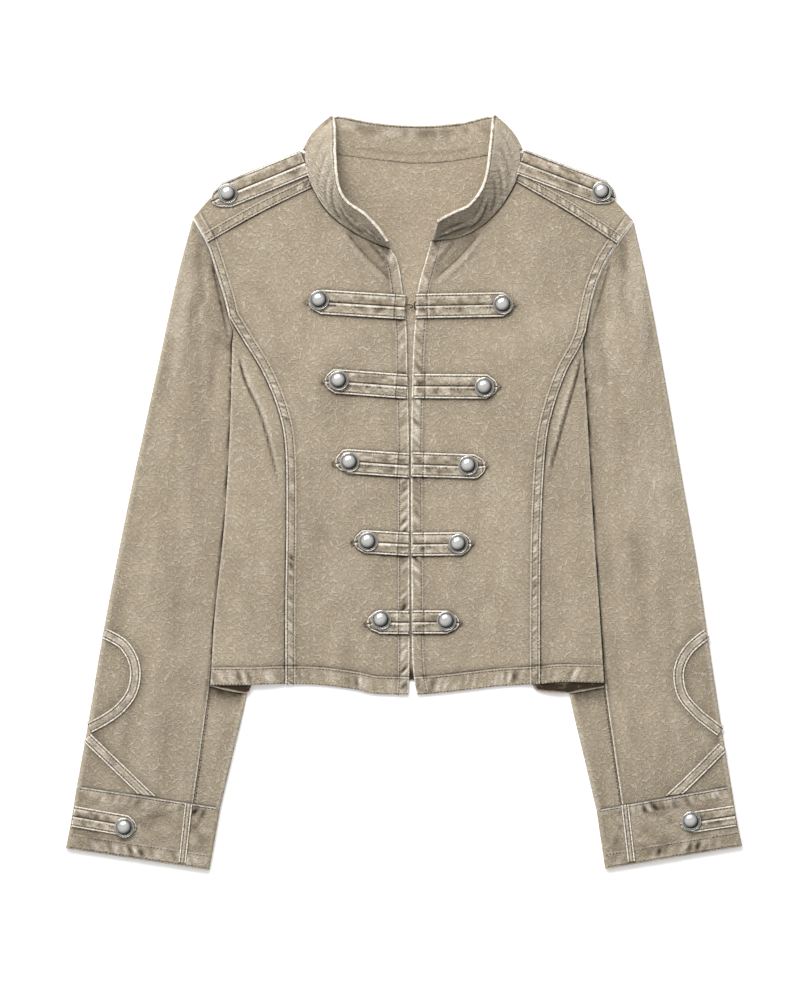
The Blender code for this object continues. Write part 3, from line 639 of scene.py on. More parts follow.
def makeCrazing(tree, where):
    # Borders between bent cells: thin winding lines, broken here and there, and painted shade in the hollows
    # along them
    bend = noise(tree, where, weave["lineCurl"], 1.0, flat=True)["Color"]
    sway = {1: (weave["lineSway"] * mm,) * 3}
    kind = {"operation": "MULTIPLY_ADD"}
    pull = addNode(tree, "ShaderNodeVectorMath", kind, {0: bend, 2: where}, sway).outputs[0]
    lines, hollowShades = [], []
    for number, cell in enumerate(weave["lineCells"]):
        away = {1: (*(step * number for step in weave["layerShift"]), 0.0)}
        moved = addNode(tree, "ShaderNodeVectorMath", {"operation": "ADD"}, {0: pull}, away).outputs[0]
        kind = {"voronoi_dimensions": "2D", "feature": "DISTANCE_TO_EDGE"}
        cells = addNode(tree, "ShaderNodeTexVoronoi", kind, {"Vector": moved}, {"Scale": 1 / (cell * mm)})
        border = cells.outputs["Distance"]
        wide = weave["lineWide"] / cell
        thin = ranged(tree, border, wide, weave["lineThin"] / cell, smooth=True)
        breaks = noise(tree, moved, weave["lineBreaks"], 0.0, flat=True)["Fac"]
        shown = ranged(tree, breaks, 0.28, 0.44, smooth=True)
        lines.append(combined(tree, "MULTIPLY", thin, shown))
        ends = wide * weave["hollowFrom"], wide * weave["hollowTo"]
        hollowShades.append(ranged(tree, border, *ends, smooth=True))
    return combined(tree, "MAXIMUM", *lines), combined(tree, "MAXIMUM", *hollowShades)


def makeTwill(name, base):
    # Garment-dyed cotton twill, stone washed: matt, chalky on every edge, with the fine pale crazing that
    # washing leaves. Painted shade with a little soil darkens the seams, ditches and crease troughs, and
    # painted highlights lighten ridges and pucker crests. A real twill has its lines 0.6 mm apart; here they
    # are
    # 4.2 mm apart and low, because finer ones don't show at this distance.
    made, tree, shader, where = newMaterial(name)
    cloud = noise(tree, where, weave["cloud"], 3.0, 0.6)["Fac"]
    fine = noise(tree, where, weave["fine"], 2.0)["Fac"]
    crazing, hollowShade = makeCrazing(tree, where)
    kind = {"wave_type": "BANDS", "bands_direction": "DIAGONAL"}
    # A diagonal wave of scale 1 has its lines 2 pi / 10 apart along x plus y
    scale = 2 * math.pi / 10 / (math.sqrt(2) * weave["twillApart"] * mm)
    values = {"Scale": scale, "Distortion": weave["twillBend"], "Detail": 1.0, "Detail Scale": 2.0}
    twill = addNode(tree, "ShaderNodeTexWave", kind, {"Vector": where}, values)
    worn = addNode(tree, "ShaderNodeAttribute", {"attribute_name": "worn"}).outputs["Fac"]
    soil = addNode(tree, "ShaderNodeAttribute", {"attribute_name": "soil"}).outputs["Fac"]
    tone = ranged(tree, cloud, 0.3, 0.7, 0.88, 1.08)
    speck = ranged(tree, fine, 0.25, 0.75, 0.95, 1.05)
    colour = shaded(tree, base, combined(tree, "MULTIPLY", tone, speck))
    # Painted shade in the hollows beside the crazing lines
    colour = laidOver(tree, combined(tree, "MULTIPLY", hollowShade, weave["hollowShadeShare"]), colour, weave["hollowShade"])
    colour = laidOver(tree, combined(tree, "MULTIPLY", crazing, weave["lineShare"]), colour, weave["crazing"])
    patchy = ranged(tree, fine, 0.3, 0.7, 0.75, 1.25)
    # Pale wear and painted highlights, then painted shade with a little soil, as the two attributes give them
    colour = laidOver(tree, combined(tree, "MULTIPLY", worn, patchy, True), colour, weave["pale"])
    colour = laidOver(tree, combined(tree, "MULTIPLY", soil, patchy, True), colour, weave["dark"])
    tree.links.new(colour, shader.inputs["Base Color"])
    threads = {0: twill.outputs["Fac"], 2: crazing}
    high = addNode(tree, "ShaderNodeMath", {"operation": "MULTIPLY_ADD"}, threads, {1: weave["threadHigh"]})
    deep = {"Strength": weave["bump"], "Distance": weave["bumpDeep"]}
    bumped = addNode(tree, "ShaderNodeBump", links={"Height": high.outputs[0]}, values=deep)
    tree.links.new(bumped.outputs["Normal"], shader.inputs["Normal"])
    tree.links.new(ranged(tree, fine, 0.2, 0.8, 0.82, 0.95), shader.inputs["Roughness"])
    shader.inputs["Specular IOR Level"].default_value = weave["specular"]
    shader.inputs["Sheen Weight"].default_value = weave["sheen"]
    shader.inputs["Sheen Roughness"].default_value = weave["sheenRoughness"]
    return made


metal = {"grain": 1.2, "tarnish": 7.0, "bump": 0.04, "bumpDeep": 0.00015}


def makeMetal(name, base, low, high):
    # Nickel-plated brass, die struck and satin finished, or lacquered steel wire: fine grain, faint tarnish
    made, tree, shader, where = newMaterial(name)
    grain = noise(tree, where, metal["grain"], 3.0)["Fac"]
    tarnish = noise(tree, where, metal["tarnish"], 2.0)["Fac"]
    tree.links.new(ranged(tree, grain, 0.3, 0.7, low, high), shader.inputs["Roughness"])
    colour = shaded(tree, base, ranged(tree, tarnish, 0.3, 0.7, 0.88, 1.05))
    tree.links.new(colour, shader.inputs["Base Color"])
    deep = {"Strength": metal["bump"], "Distance": metal["bumpDeep"]}
    bumped = addNode(tree, "ShaderNodeBump", links={"Height": grain}, values=deep)
    tree.links.new(bumped.outputs["Normal"], shader.inputs["Normal"])
    shader.inputs["Metallic"].default_value = 1.0
    return made


washedTwill = makeTwill("washedCottonTwill", weave["base"])
insideTwill = makeTwill("washedCottonTwillInside", weave["inside"])
satinNickel = makeMetal("satinNickelPlatedBrass", "#BEBDBA", 0.1, 0.18)
blackWire = makeMetal("blackLacqueredSteelWire", "#15140F", 0.35, 0.5)
print("materials made")

# Stitch rows, gathered while the pieces are made

stitchRows = []


def sew(spots, height):
    stitchRows.append(np.concatenate([spots, np.asarray(height, float).reshape(-1, 1)], 1) * mm)


def rowBeside(line, away, turn, start=0.0, end=1.0):
    # A row at a steady distance to the right of a line, or to its left where turn is minus
    share = np.linspace(start, end, max(int(line.length * (end - start) / 1.5), 2))
    heading = line.heading(share)
    return line.at(share) + np.stack([heading[:, 1], -heading[:, 0]], -1) * away * turn


# Cloth walls


def wallPiece(name, face, inside, nodes, tones=None, ring=False, material=None):
    # A closed wall of cloth between two equal grids of points
    rows, columns = face.shape[:2]
    total = rows * columns
    points = np.concatenate([face.reshape(-1, 3), inside.reshape(-1, 3)]) * mm
    number = np.arange(total).reshape(rows, columns)
    start, after = (number, np.roll(number, -1, 1)) if ring else (number[:, :-1], number[:, 1:])
    a, b, c, d = start[:-1], after[:-1], after[1:], start[1:]
    quads = [np.stack([a, b, c, d], -1).reshape(-1, 4), np.stack([a, d, c, b], -1).reshape(-1, 4) + total]
    first, firstAfter, last, lastAfter = start[0], after[0], start[-1], after[-1]
    quads.append(np.stack([first + total, firstAfter + total, firstAfter, first], -1))
    quads.append(np.stack([lastAfter + total, last + total, last, lastAfter], -1))
    if not ring:
        low, high = number[:-1, 0], number[1:, 0]
        quads.append(np.stack([high + total, low + total, low, high], -1))
        low, high = number[:-1, -1], number[1:, -1]
        quads.append(np.stack([low + total, high + total, high, low], -1))
    quads = np.concatenate(quads)
    corner = points[quads]
    volume = 0.0
    for i, j in ((1, 2), (2, 3)):
        volume += np.einsum("ij,ij->i", corner[:, 0], np.cross(corner[:, i], corner[:, j])).sum()
    if volume < 0:
        quads = quads[:, ::-1]
    mesh = bpy.data.meshes.new(name)
    mesh.from_pydata(points, [], quads)
    mesh.shade_smooth()
    mesh.set_sharp_from_angle(angle=math.radians(55))
    for key in ("worn", "soil"):
        values = np.zeros(total * 2)
        if tones:
            values[:total] = np.broadcast_to(tones[key], (rows, columns)).ravel()
        mesh.attributes.new(key, "FLOAT", "POINT").data.foreach_set("value", values)
    mesh.materials.append(material or washedTwill)
    made = bpy.data.objects.new(name, mesh)
    bpy.context.scene.collection.objects.link(made)
    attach(made, "root")
    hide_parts(*nodes)
    return made


def spaced(length, start, step, end):
    # Places along a length: close ones at the start, even steps, close ones at the end
    start, end = np.array(start, float), np.array(end, float)
    room = length - start[-1] - end[0]
    count = max(int(round(room / step)), 1)
    middle = start[-1] + room * np.arange(1, count) / count
    return np.concatenate([start, middle, length - end])


def paddedTones(worn, soil, pad):
    # Wear with painted highlights, and painted shade with soil, of the places that show, and none on the
    # hidden ones that follow in each row
    return {key: np.pad(value, ((0, 0), (0, pad))) for key, value in (("worn", worn), ("soil", soil))}


def acrossRows(place, v, start, step, end):
    # The share across for each row, with the close places kept at their true distances
    probe = np.linspace(0, 1, 25)
    spots = place(probe[None, :], v[:, None])
    widths = np.linalg.norm(np.diff(spots, axis=1), axis=2).sum(1)
    widest = widths.max()
    count = max(int(round((widest - start[-1] - end[0]) / step)), 2)
    middle = np.arange(1, count) / count
    rows = []
    for width in widths:
        squeeze = min([1.0, *(0.44 * width / reach for reach in (start[-1], end[0]) if reach > 0)])
        first, final = np.array(start) * squeeze / width, 1 - np.array(end) * squeeze / width
        rows.append(np.concatenate([first, first[-1] + (final[0] - first[-1]) * middle, final]))
    return np.array(rows)


bandStart = [
    0.0, 0.45, 0.9, 1.35, 1.8, 2.4, 3.2, 4.2, 5.3, 6.3, 6.9, 7.4, 7.9, 8.5, 9.0, 9.5, 10.2, 11.2, 13.0
]
bandEnd = [15.0, 12.5, 11.0, 10.3, 9.7, 9.2, 8.8, 8.2, 7.2, 6.0, 4.8, 3.6, 2.6, 1.8, 1.2, 0.7, 0.3, 0.0]
hemStart = [
    0.0, 0.5, 1.1, 2.0, 3.4, 5.0, 6.8, 8.6, 10.4, 12.0, 13.2, 14.0, 14.6, 15.2, 15.8, 16.4, 17.2, 18.5
]
plainEnd = [5.0, 3.4, 2.2, 1.4, 0.8, 0.3, 0.0]


def frontLow(x, y):
    # Underside of the fronts, and how far inside the body's outline each place is
    away, _, _ = lineReach(x, y, bodyOutline)
    gap = cloth["layerGapEdge"] + (cloth["layerGapInside"] - cloth["layerGapEdge"]) * smoothStep(away / 15)
    return backTop(x, y) + gap + cloth["drape"] * smoothStep(away / 60), away


def frontTop(x, y):
    return frontLow(x, y)[0] + cloth["thick"]


def frontFace(x, y, side, borders):
    # Top of a front or side front with its folds and sewn edges
    low, inward = frontLow(x, y)
    rise, dark = creased(x, y, frontCreases[side])
    calm = smoothStep(inward / 12)
    rise = rise * calm + 0.22 * softNoise(x, y, 26, 3) * calm + 0.10 * softNoise(x, y, 9, 4) * calm
    streak = softNoise(x, y * 0.35, 13, 6) * 0.6 + softNoise(x + y * 0.2, y * 0.5, 6, 7) * 0.4
    # Crease ridges get painted highlights and crease troughs painted shade; the streaks are random tone
    worn = 0.07 * np.clip(streak, 0, 1) + np.clip(-dark, 0, 1) * calm
    soil = np.clip(dark, 0, 1) * smoothStep(inward / 3) + 0.11 * np.clip(-streak, 0, 1)
    for line, style, seed in borders:
        away, along, _ = lineReach(x, y, line)
        if style == "under":
            dz, deep = underLook(away)
            rise, soil = rise + dz, soil + deep
        elif style == "fold":
            rise = rise - 0.7 * (1 - np.clip(away / 1.6, 0, 1)) ** 2
            worn = worn + 0.25 * hump(away, 0.6, 1.0)
        else:
            dz, pale, deep = seamLook(away, along, style, seed)
            rise, worn, soil = rise + dz, worn + pale, soil + deep
    # Painted shadow round each tab, heavier on its lower side
    for tab in (tabsRight if side == "right" else tabsLeft):
        line = tabLine(tab)
        away, along, _ = lineReach(x, y, line)
        beyond = away - tabHalf(tab)((along / line.length).ravel()).reshape(np.shape(along))
        (startX, startY), (endX, endY) = sorted((tab[0:2], tab[2:4]))
        below = np.interp(x, (startX, endX), (startY, endY)) > y
        soil = soil + np.where(below, 0.8, 0.45) * hump(beyond, 0.2, 1.0)
        soil = soil + np.where(below, 0.2, 0.08) * hump(beyond, 1.0, 4.0)
    return low, rise, worn, soil


tabsRight = [
    (1, 169.5, -77, 174.5, -88, 174, -78, 176, 23),
    (2.5, 96.5, -64, 101.5, -73, 101, -60, 102, 23),
    (4, 24, -53, 28, -63, 25, -50, 27, 23),
    (4.2, -48.5, -37, -46, -46, -47, -33, -46, 22),
    (4.6, -120.5, -24, -120, -34, -122, -21, -118, 22),
]
tabsLeft = [
    (11.5, 170.5, 91, 172, 101, 172, 91, 172, 23),
    (9.5, 97, 76, 96.5, 86, 96, 74, 96, 23),
    (8, 25, 66, 23, 75, 24, 59, 24, 23),
    (8, -48.5, 53, -48, 62, -48, 50, -48, 22),
    (8.5, -120, 40, -120, 51, -121, 39, -119, 22),
]


def tabLine(tab):
    return Line([tab[0:2], tab[2:4]], [tab[2:4], tab[4:6]])


def tabHalf(tab):
    # Half width along a strap: full to its end, then in to the point
    line = tabLine(tab)
    end = math.dist(tab[0:2], tab[2:4]) / line.length
    half = tab[8] / 2

    def halfAt(share):
        return half * np.interp(share, [0, end, end + (1 - end) * 0.7, 1], [1, 1, 0.6, 0.2])

    return halfAt


def clothPanel(name, nodes, place, u, v, faceAt, material=None):
    spots = place(u, v[:, None])
    x, y = spots[..., 0], spots[..., 1]
    low, rise, worn, soil = faceAt(x, y)
    top = low + cloth["thick"] + rise
    under = np.minimum(low + np.minimum(rise, 0.0) + np.maximum(rise, 0.0) * 0.8, top - 0.35)
    under = np.maximum(under, 0.0)
    face = np.stack([x, y, top], -1)
    inside = np.stack([x, y, under], -1)
    return wallPiece(name, face, inside, nodes, {"worn": worn, "soil": soil}, material=material)


def frontLines(side):
    princess = Line(onSide(princessSeam, side))
    holes = [point for point in onSide(armhole, side).tolist() if 150 < point[1] < 235]
    left = Line(onSide(princessSeam, side), [onSide(princessSeam, side)[-1].tolist(), *holes])
    right = Line(onSide(frontEdge, side))
    bottom = Line(onSide(frontHem, side)[2:])
    top = Line(onSide(yokeFrontSeam, side)[::-1], onSide(frontNeck, side))
    return princess, left, right, bottom, top


def makeFront(side):
    _, left, right, bottom, top = frontLines(side)
    place = patch(left, right, bottom, top)
    v = spaced(left.length, hemStart, 1.5, plainEnd) / left.length
    v[-1] = 1 - cloth["seamGap"] / left.length
    u = acrossRows(place, v, bandStart, 2.4, bandEnd)
    borders = [(left, "fell", 3 if side == "right" else 4), (right, "facing", 5 if side == "right" else 6)]
    borders += [(Line(onSide(frontHem, side)), "hem", 7 if side == "right" else 8), (top, "under", 0)]
    inward = 1 if side == "right" else -1
    rows = [rowBeside(left, away, inward, 0.0, 0.985) for away in seamStyles["fell"]["rows"]]
    rows += [rowBeside(right, seamStyles["facing"]["rows"][0], -inward, 0.0, 0.97)]
    rows += [rowBeside(bottom, away, -inward, 0.01, 0.99) for away in (seamStyles["hem"]["rows"][0], 1.0)]
    for spots in rows:
        low, rise, _, _ = frontFace(spots[:, 0], spots[:, 1], side, borders)
        sew(spots, low + rise + cloth["thick"] + 0.05)
    return clothPanel(
        f"frontPanel_{side}", [f"front_{side}"], place, u, v, lambda x, y: frontFace(x, y, side, borders)
    )


def makeSideFront(side):
    left, right = Line(onSide(sideEdge, side)), Line(onSide(princessSeam, side))
    bottom = Line(onSide(frontHem, side)[:3])
    top = Line(onSide(armhole, side)[: 3 if side == "right" else 2])
    place = patch(left, right, bottom, top)
    v = spaced(right.length, hemStart, 1.6, [3.0, 1.2, 0.2]) / right.length
    start = [0.0, 0.5, 1.0, 1.8, 3.0]
    u = acrossRows(place, v, start, 2.4, [8.0, 5.0, 3.2, 2.0, 1.2, 0.7, 0.4])
    borders = [
        (left, "fold", 0),
        (right, "under", 0),
        (Line(onSide(frontHem, side)), "hem", 7 if side == "right" else 8),
    ]
    inward = 1 if side == "right" else -1
    for away in (seamStyles["hem"]["rows"][0], 1.0):
        spots = rowBeside(bottom, away, -inward, 0.02, 0.98)
        low, rise, _, _ = frontFace(spots[:, 0], spots[:, 1], side, borders)
        sew(spots, low + rise + cloth["thick"] + 0.05)
    return clothPanel(
        f"sideFront_{side}", [f"side_front_{side}"], place, u, v, lambda x, y: frontFace(x, y, side, borders)
    )


def makeBack():
    right = onSide(armhole, "right")[:-1].tolist()
    left = onSide(armhole, "left")[:-1].tolist()
    leftLine = Line(onSide(sideEdge, "right"), [*right, (-188, 243)])
    rightLine = Line(onSide(sideEdge, "left"), [*left, (205, 241)])
    bottom = Line(
        [(-178, -179), (-160, -183.5), (-143, -186)],
        [(-143, -186), (-139, -175)],
        [(-139, -175), (118, -173)],
        [(118, -173), (122, -183), (150, -185.5), (184, -180)],
    )
    neck = [(x, y + 5) for x, y in backNeckMiddle]
    top = Line(onSide(yokeBackSeam, "right")[::-1], neck, onSide(yokeBackSeam, "left"))
    place = patch(leftLine, rightLine, bottom, top)
    v = spaced(
        leftLine.length, [0.0, 0.5, 1.2, 2.0, 3.0, 4.5, 7.0], 4.5, [4.0, 2.0, 0.8, 0.4]
    ) / leftLine.length
    u = acrossRows(place, v, [0.0, 2.0], 4.5, [2.0, 0.0])

    def backFace(x, y):
        hem = y - np.interp(
            x, [-178, -143, -139, 118, 122, 150, 184], [-179, -186, -175, -173, -183, -185.5, -180]
        )
        # Painted shade along the strip of hem that shows below the fronts; a little darker towards the neck
        soil = 1.0 * hump(hem, 2.2, 1.6) + 1.1 * hump(hem, 7.0, 4.5)
        calm = smoothStep(lineReach(x, y, bodyOutline)[0] / 20)
        rise = -0.35 * np.abs(softNoise(x, y, 22, 9)) * calm
        deep = smoothStep((y - 215) / 60) * 0.04
        return backTop(x, y) - cloth["thick"], rise, 0.2 * hump(hem, 0.3, 0.8), soil + deep

    return clothPanel("backPanel", ["back"], place, u, v, backFace, insideTwill)


for sideName in ("right", "left"):
    makeFront(sideName)
    makeSideFront(sideName)
makeBack()
print("body made")

# Sleeves and cuffs

braid = {"wide": 10.6, "thick": 1.1, "ventWide": 7.5, "lean": 1.42, "leanOver": 16.0}
braidLoop = [
    (-275.5, -130.5, 278.5, -131),
    (-269, -133.5, 271, -136.5),
    (-257.5, -141, 261, -146),
    (-249, -155, 254, -159),
    (-247, -170, 252.5, -173),
    (-251, -186, 257, -189),
    (-262, -200, 270, -204),
    (-275, -209.5, 281, -213),
    (-289, -217, 291, -220.5),
]
braidDiagonal = [(-291.2, -226.5, 292.8, -235), (-262, -254.5, 266, -262), (-236.8, -278.8, 248.5, -278.5)]

foldTurns = np.radians(np.linspace(90, -90, 9))


def sleevePlan(side):
    outer, inner = Line(onSide(sleeveOuterEdge, side)), Line(onSide(sleeveInnerEdge, side))
    hiddenEnd = [onSide(armhole, side)[0], onSide(sleeveInnerEdge, side)[0]]
    head = Line(onSide(armhole, side)[::-1], hiddenEnd)
    wrist = Line([onSide(sleeveOuterEdge, side)[-1], onSide(sleeveInnerEdge, side)[-1]])
    return patch(outer, inner, head, wrist), outer.length


def sleeveSeamShare(v):
    # The front seam stays under the body until near the hem, then shows down to the cuff
    return 0.63 + 0.18 * v**2.4 + 0.095 * (1 - v**3) * smoothStep(v / 0.12)


def sleeveBase(x, y, side):
    # Height of the laid sleeve without its creases, and how far outside the body it is
    away = lineReach(x, y, bodyOutline)[0]
    rise = cloth["sleevePuff"] * smoothStep((away - cloth["puffFrom"]) / cloth["puffReach"])
    for fromX, fromY, toX, toY, wide, high in sleeveRidges[side]:
        near = lineReach(x, y, Line([(fromX, fromY), (toX, toY)]))[0]
        rise = rise + high * hump(near, 0, wide) * smoothStep(away / 25)
    covered = insideBody(x, y)
    return cloth["sleeveFlat"] + np.where(covered, 0.0, rise), np.where(covered, 0.0, away)


def foldPoints(place, v, end, topAt, thick, flat):
    # The round fold of a flattened tube at its outer or inner edge: its face and its inside
    near, far = place(0.0, v), place(1.0, v)
    edge, other = (near, far) if end == 0 else (far, near)
    inward = (other - edge) / np.linalg.norm(other - edge, axis=1, keepdims=True)
    well = edge + inward * flat
    radius = topAt(well[:, 0], well[:, 1]) / 2
    grids = []
    for depth in (0.0, thick):
        reach = radius - depth
        out = radius[:, None] - reach[:, None] * np.cos(foldTurns)[None, :]
        spot = edge[:, None, :] + inward[:, None, :] * out[..., None]
        high = radius[:, None] + reach[:, None] * np.sin(foldTurns)[None, :]
        grids.append(np.concatenate([spot, high[..., None]], -1))
    return grids


def flatPoints(spots, top, thick):
    return [np.concatenate([spots, high[..., None]], -1) for high in (top, top - thick)]


def sleeveFace(x, y, side, lines):
    base, away = sleeveBase(x, y, side)
    rise, dark = creased(x, y, sleeveCreases[side])
    outer, inner = lines["outer"], lines["inner"]
    calm = smoothStep((lineReach(x, y, outer)[0] - 3) / 12) * smoothStep((lineReach(x, y, inner)[0] - 3) / 12)
    calm = calm * smoothStep(away / 14)
    rise = rise + 0.38 * softNoise(x, y, 34, 13) + 0.13 * softNoise(x, y, 12, 14)
    rise = rise * calm
    lean = 0.13 if side == "right" else -0.1
    across = x - lean * y
    streak = softNoise(across, y * 0.16, 9, 15) * 0.65 + softNoise(across, y * 0.3, 4.5, 16) * 0.35
    streak = streak * (1 + 1.5 * smoothStep((y - 60) / 120))
    rise = rise + 0.35 * streak * calm
    edge = np.minimum(lineReach(x, y, outer)[0], lineReach(x, y, inner)[0])
    # Crease ridges get painted highlights and crease troughs painted shade
    worn = 0.12 * np.clip(streak, 0, 1) + np.clip(-dark, 0, 1) * calm
    soil = np.clip(dark, 0, 1) * np.maximum(calm, 0.85 * (dark > 0.3))
    # Random tone from the streaks, and painted shade towards both folded edges of the sleeve
    soil = soil + 0.17 * np.clip(-streak, 0, 1) + 0.12 * np.exp(-edge / 7)
    # Painted shadow of the body's hem on the sleeve below it
    opening = lineReach(x, y, lines["opening"])[0]
    soil = soil + 0.75 * np.exp(-((opening / 9.0) ** 1.5))
    # Painted shade along the armhole seam, where the body lies over the sleeve
    hole, along, _ = lineReach(x, y, lines["hole"])
    soil = soil + 0.95 * hump(hole, 0, 1.2) + 0.3 * np.exp(-hole / 5.0)
    soil = soil + 0.05 * smoothStep((-100 - y) / 120)
    # Painted shade beside the braid
    for trim in lines["braid"]:
        beside, _, _ = lineReach(x, y, trim)
        soil = soil + 0.22 * hump(beside - braid["wide"] / 2, 1.0, 4.0)
    # Gathers of the sleeve head, with painted shade in their troughs
    beat = np.sin(2 * math.pi * along / 7.0 + 2.0 * softNoise(along, along * 0, 15, 21))
    rise = rise + 0.35 * beat * hump(hole, 6, 4.5) * smoothStep(away / 3)
    soil = soil + 0.2 * np.clip(-beat, 0, 1) * hump(hole, 5, 4)
    # Painted shadow along the body's side edge, which lies over the sleeve
    body, _, _ = lineReach(x, y, lines["side"])
    soil = soil + 0.9 * hump(body, 0, 1.2) + 0.3 * np.exp(-body / 4.0)
    # Painted shade where the sleeve goes in under the cuff, with puckers beside it
    wrist, along, _ = lineReach(x, y, lines["wrist"])
    soil = soil + 0.8 * hump(wrist, 0, 1.0) + 0.2 * np.exp(-wrist / 4.0)
    beat = np.sin(2 * math.pi * along / 8.0 + 2.4 * softNoise(along, along * 0, 15, 22))
    rise = rise + 0.3 * beat * hump(wrist, 5, 4.0) * calm
    return base + rise, worn, soil


def sleeveLines(side, place, v):
    seam = Line(place(sleeveSeamShare(v), v))
    return {
        "outer": Line(onSide(sleeveOuterEdge, side)),
        "inner": Line(onSide(sleeveInnerEdge, side)),
        "hole": Line(onSide(armhole, side)),
        "side": Line(onSide(sideEdge, side)),
        "wrist": Line([onSide(sleeveOuterEdge, side)[-1], onSide(sleeveInnerEdge, side)[-1]]),
        "seam": seam,
        "braid": [Line(onSide(braidLoop, side)), Line(onSide(braidDiagonal, side))],
        "opening": Line(onSide([(-170, -183, 176, -182), (-143, -187, 151, -187)], side)),
    }


def makeSleeve(side):
    # Two-piece sleeve: the upper piece turns over the outer fold, the under piece over the inner one
    place, length = sleevePlan(side)
    v = spaced(
        length, [0.003 * length, 2.0, 3.2, 4.6, 6.2], 2.3, [6.0, 4.0, 2.6, 1.6, 0.9, cloth["seamGap"]]
    ) / length
    lines = sleeveLines(side, place, v)
    width = np.linalg.norm(place(1.0, v) - place(0.0, v), axis=1)[:, None]
    split, thick = sleeveSeamShare(v)[:, None], cloth["thick"]

    def baseAt(x, y):
        return sleeveBase(x, y, side)[0]

    def half(name, node, end, flatU, underU, seamSide):
        spots = place(flatU, v[:, None])
        top, worn, soil = sleeveFace(spots[..., 0], spots[..., 1], side, lines)
        seam = lineReach(spots[..., 0], spots[..., 1], lines["seam"])[0]
        if seamSide == "upper":
            # Pale worn edge at the seam, and painted shade in the stitch furrow beside it
            top = top - 0.35 * (1 - np.clip(seam / 0.9, 0, 1)) ** 2 + 0.25 * hump(seam, 1.2, 1.5)
            worn = worn + 0.75 * hump(seam, 0.4, 0.7)
            soil = soil + 0.3 * hump(seam, 2.2, 0.8)
        else:
            # Painted shade where this piece goes in under the upper piece's seam
            top = top - 0.3 * np.exp(-seam / 1.2)
            soil = soil + 0.75 * hump(seam, 0, 1.0) + 0.15 * np.exp(-seam / 4)
        face, inside = flatPoints(spots, top, thick)
        foldFace, foldInside = foldPoints(place, v, end, baseAt, thick, cloth["sleeveFlat"])
        under = place(underU, v[:, None])
        flat = np.zeros(under.shape[:2])
        lowFace = np.concatenate([under, flat[..., None]], -1)
        lowInside = np.concatenate([under, flat[..., None] + thick], -1)
        tones = paddedTones(worn, soil, foldFace.shape[1] + under.shape[1])
        tones["worn"][:, top.shape[1] : top.shape[1] + 6] = 0.12
        faceGrid = np.concatenate([face, foldFace, lowFace], 1)
        insideGrid = np.concatenate([inside, foldInside, lowInside], 1)
        return wallPiece(name, faceGrid, insideGrid, [node], tones)

    startMm = np.array([0.0, 0.45, 0.9, 1.5, 2.4, 4.0])
    gapShare = cloth["seamGap"] / width
    count = 40
    share = np.arange(1, count) / count
    outerEnd = 5.2 / width
    first = split - startMm[None, :] / width
    rest = first[:, -1:] + (outerEnd - first[:, -1:]) * share[None, :]
    upperU = np.concatenate([first, rest, outerEnd], 1)
    underU = 0.5 * np.array([0.08, 0.2, 0.35, 0.5, 0.65, 0.8, 1.0])[None, :] + np.zeros_like(width)
    half(f"topSleeve_{side}", f"top_sleeve_{side}", 0, upperU, underU, "upper")
    spots = rowBeside(lines["seam"], 1.7, -1 if side == "right" else 1, 0.6, 0.99)
    spots = spots[~insideBody(spots[:, 0], spots[:, 1])]
    sew(spots, sleeveFace(spots[:, 0], spots[:, 1], side, lines)[0] + 0.3)
    count = 14
    share = np.arange(1, count) / count
    first = split + gapShare + startMm[None, :] / width
    first = np.minimum(first, split + gapShare + (1 - split - gapShare) * 0.5 * startMm[None, :] / 4.0)
    innerEnd = np.maximum(1 - 5.2 / width, first[:, -1:] + 0.01)
    rest = first[:, -1:] + (innerEnd - first[:, -1:]) * share[None, :]
    lowerU = np.concatenate([first, rest, innerEnd], 1)
    edge = 0.5 + gapShare
    underU = 1 + (edge - 1) * np.array([0.1, 0.25, 0.4, 0.6, 0.8, 1.0])[None, :]
    half(f"underSleeve_{side}", f"under_sleeve_{side}", 1, lowerU, underU, "under")


def cuffPlan(side):
    outer, inner = Line(onSide(cuffOuterEdge, side)), Line(onSide(cuffInnerEdge, side))
    return patch(outer, inner, Line([outer.at(0.0), inner.at(0.0)]), Line([outer.at(1.0), inner.at(1.0)]))


cuffCreases = {
    "right": [
        ([(-262, -289), (-240, -293), (-216, -296)], 4.0, 2.2, 0.5, 0.22),
        ([(-238, -300), (-222, -298), (-206, -292)], 3.0, 2.0, -0.5, 0.28),
        ([(-196, -300), (-190, -315), (-186, -330)], 4.0, 3.0, 0.4, 0.2),
        ([(-184, -296), (-190, -306), (-196, -312)], 2.5, 2.0, -0.4, 0.25),
    ],
    "left": [
        ([(270, -286), (248, -290), (222, -293)], 4.0, 2.2, 0.5, 0.22),
        ([(244, -298), (228, -296), (212, -290)], 3.0, 2.0, -0.5, 0.28),
        ([(202, -300), (196, -315), (192, -330)], 4.0, 3.0, 0.4, 0.2),
        ([(190, -296), (196, -306), (202, -312)], 2.5, 2.0, -0.4, 0.25),
    ],
}


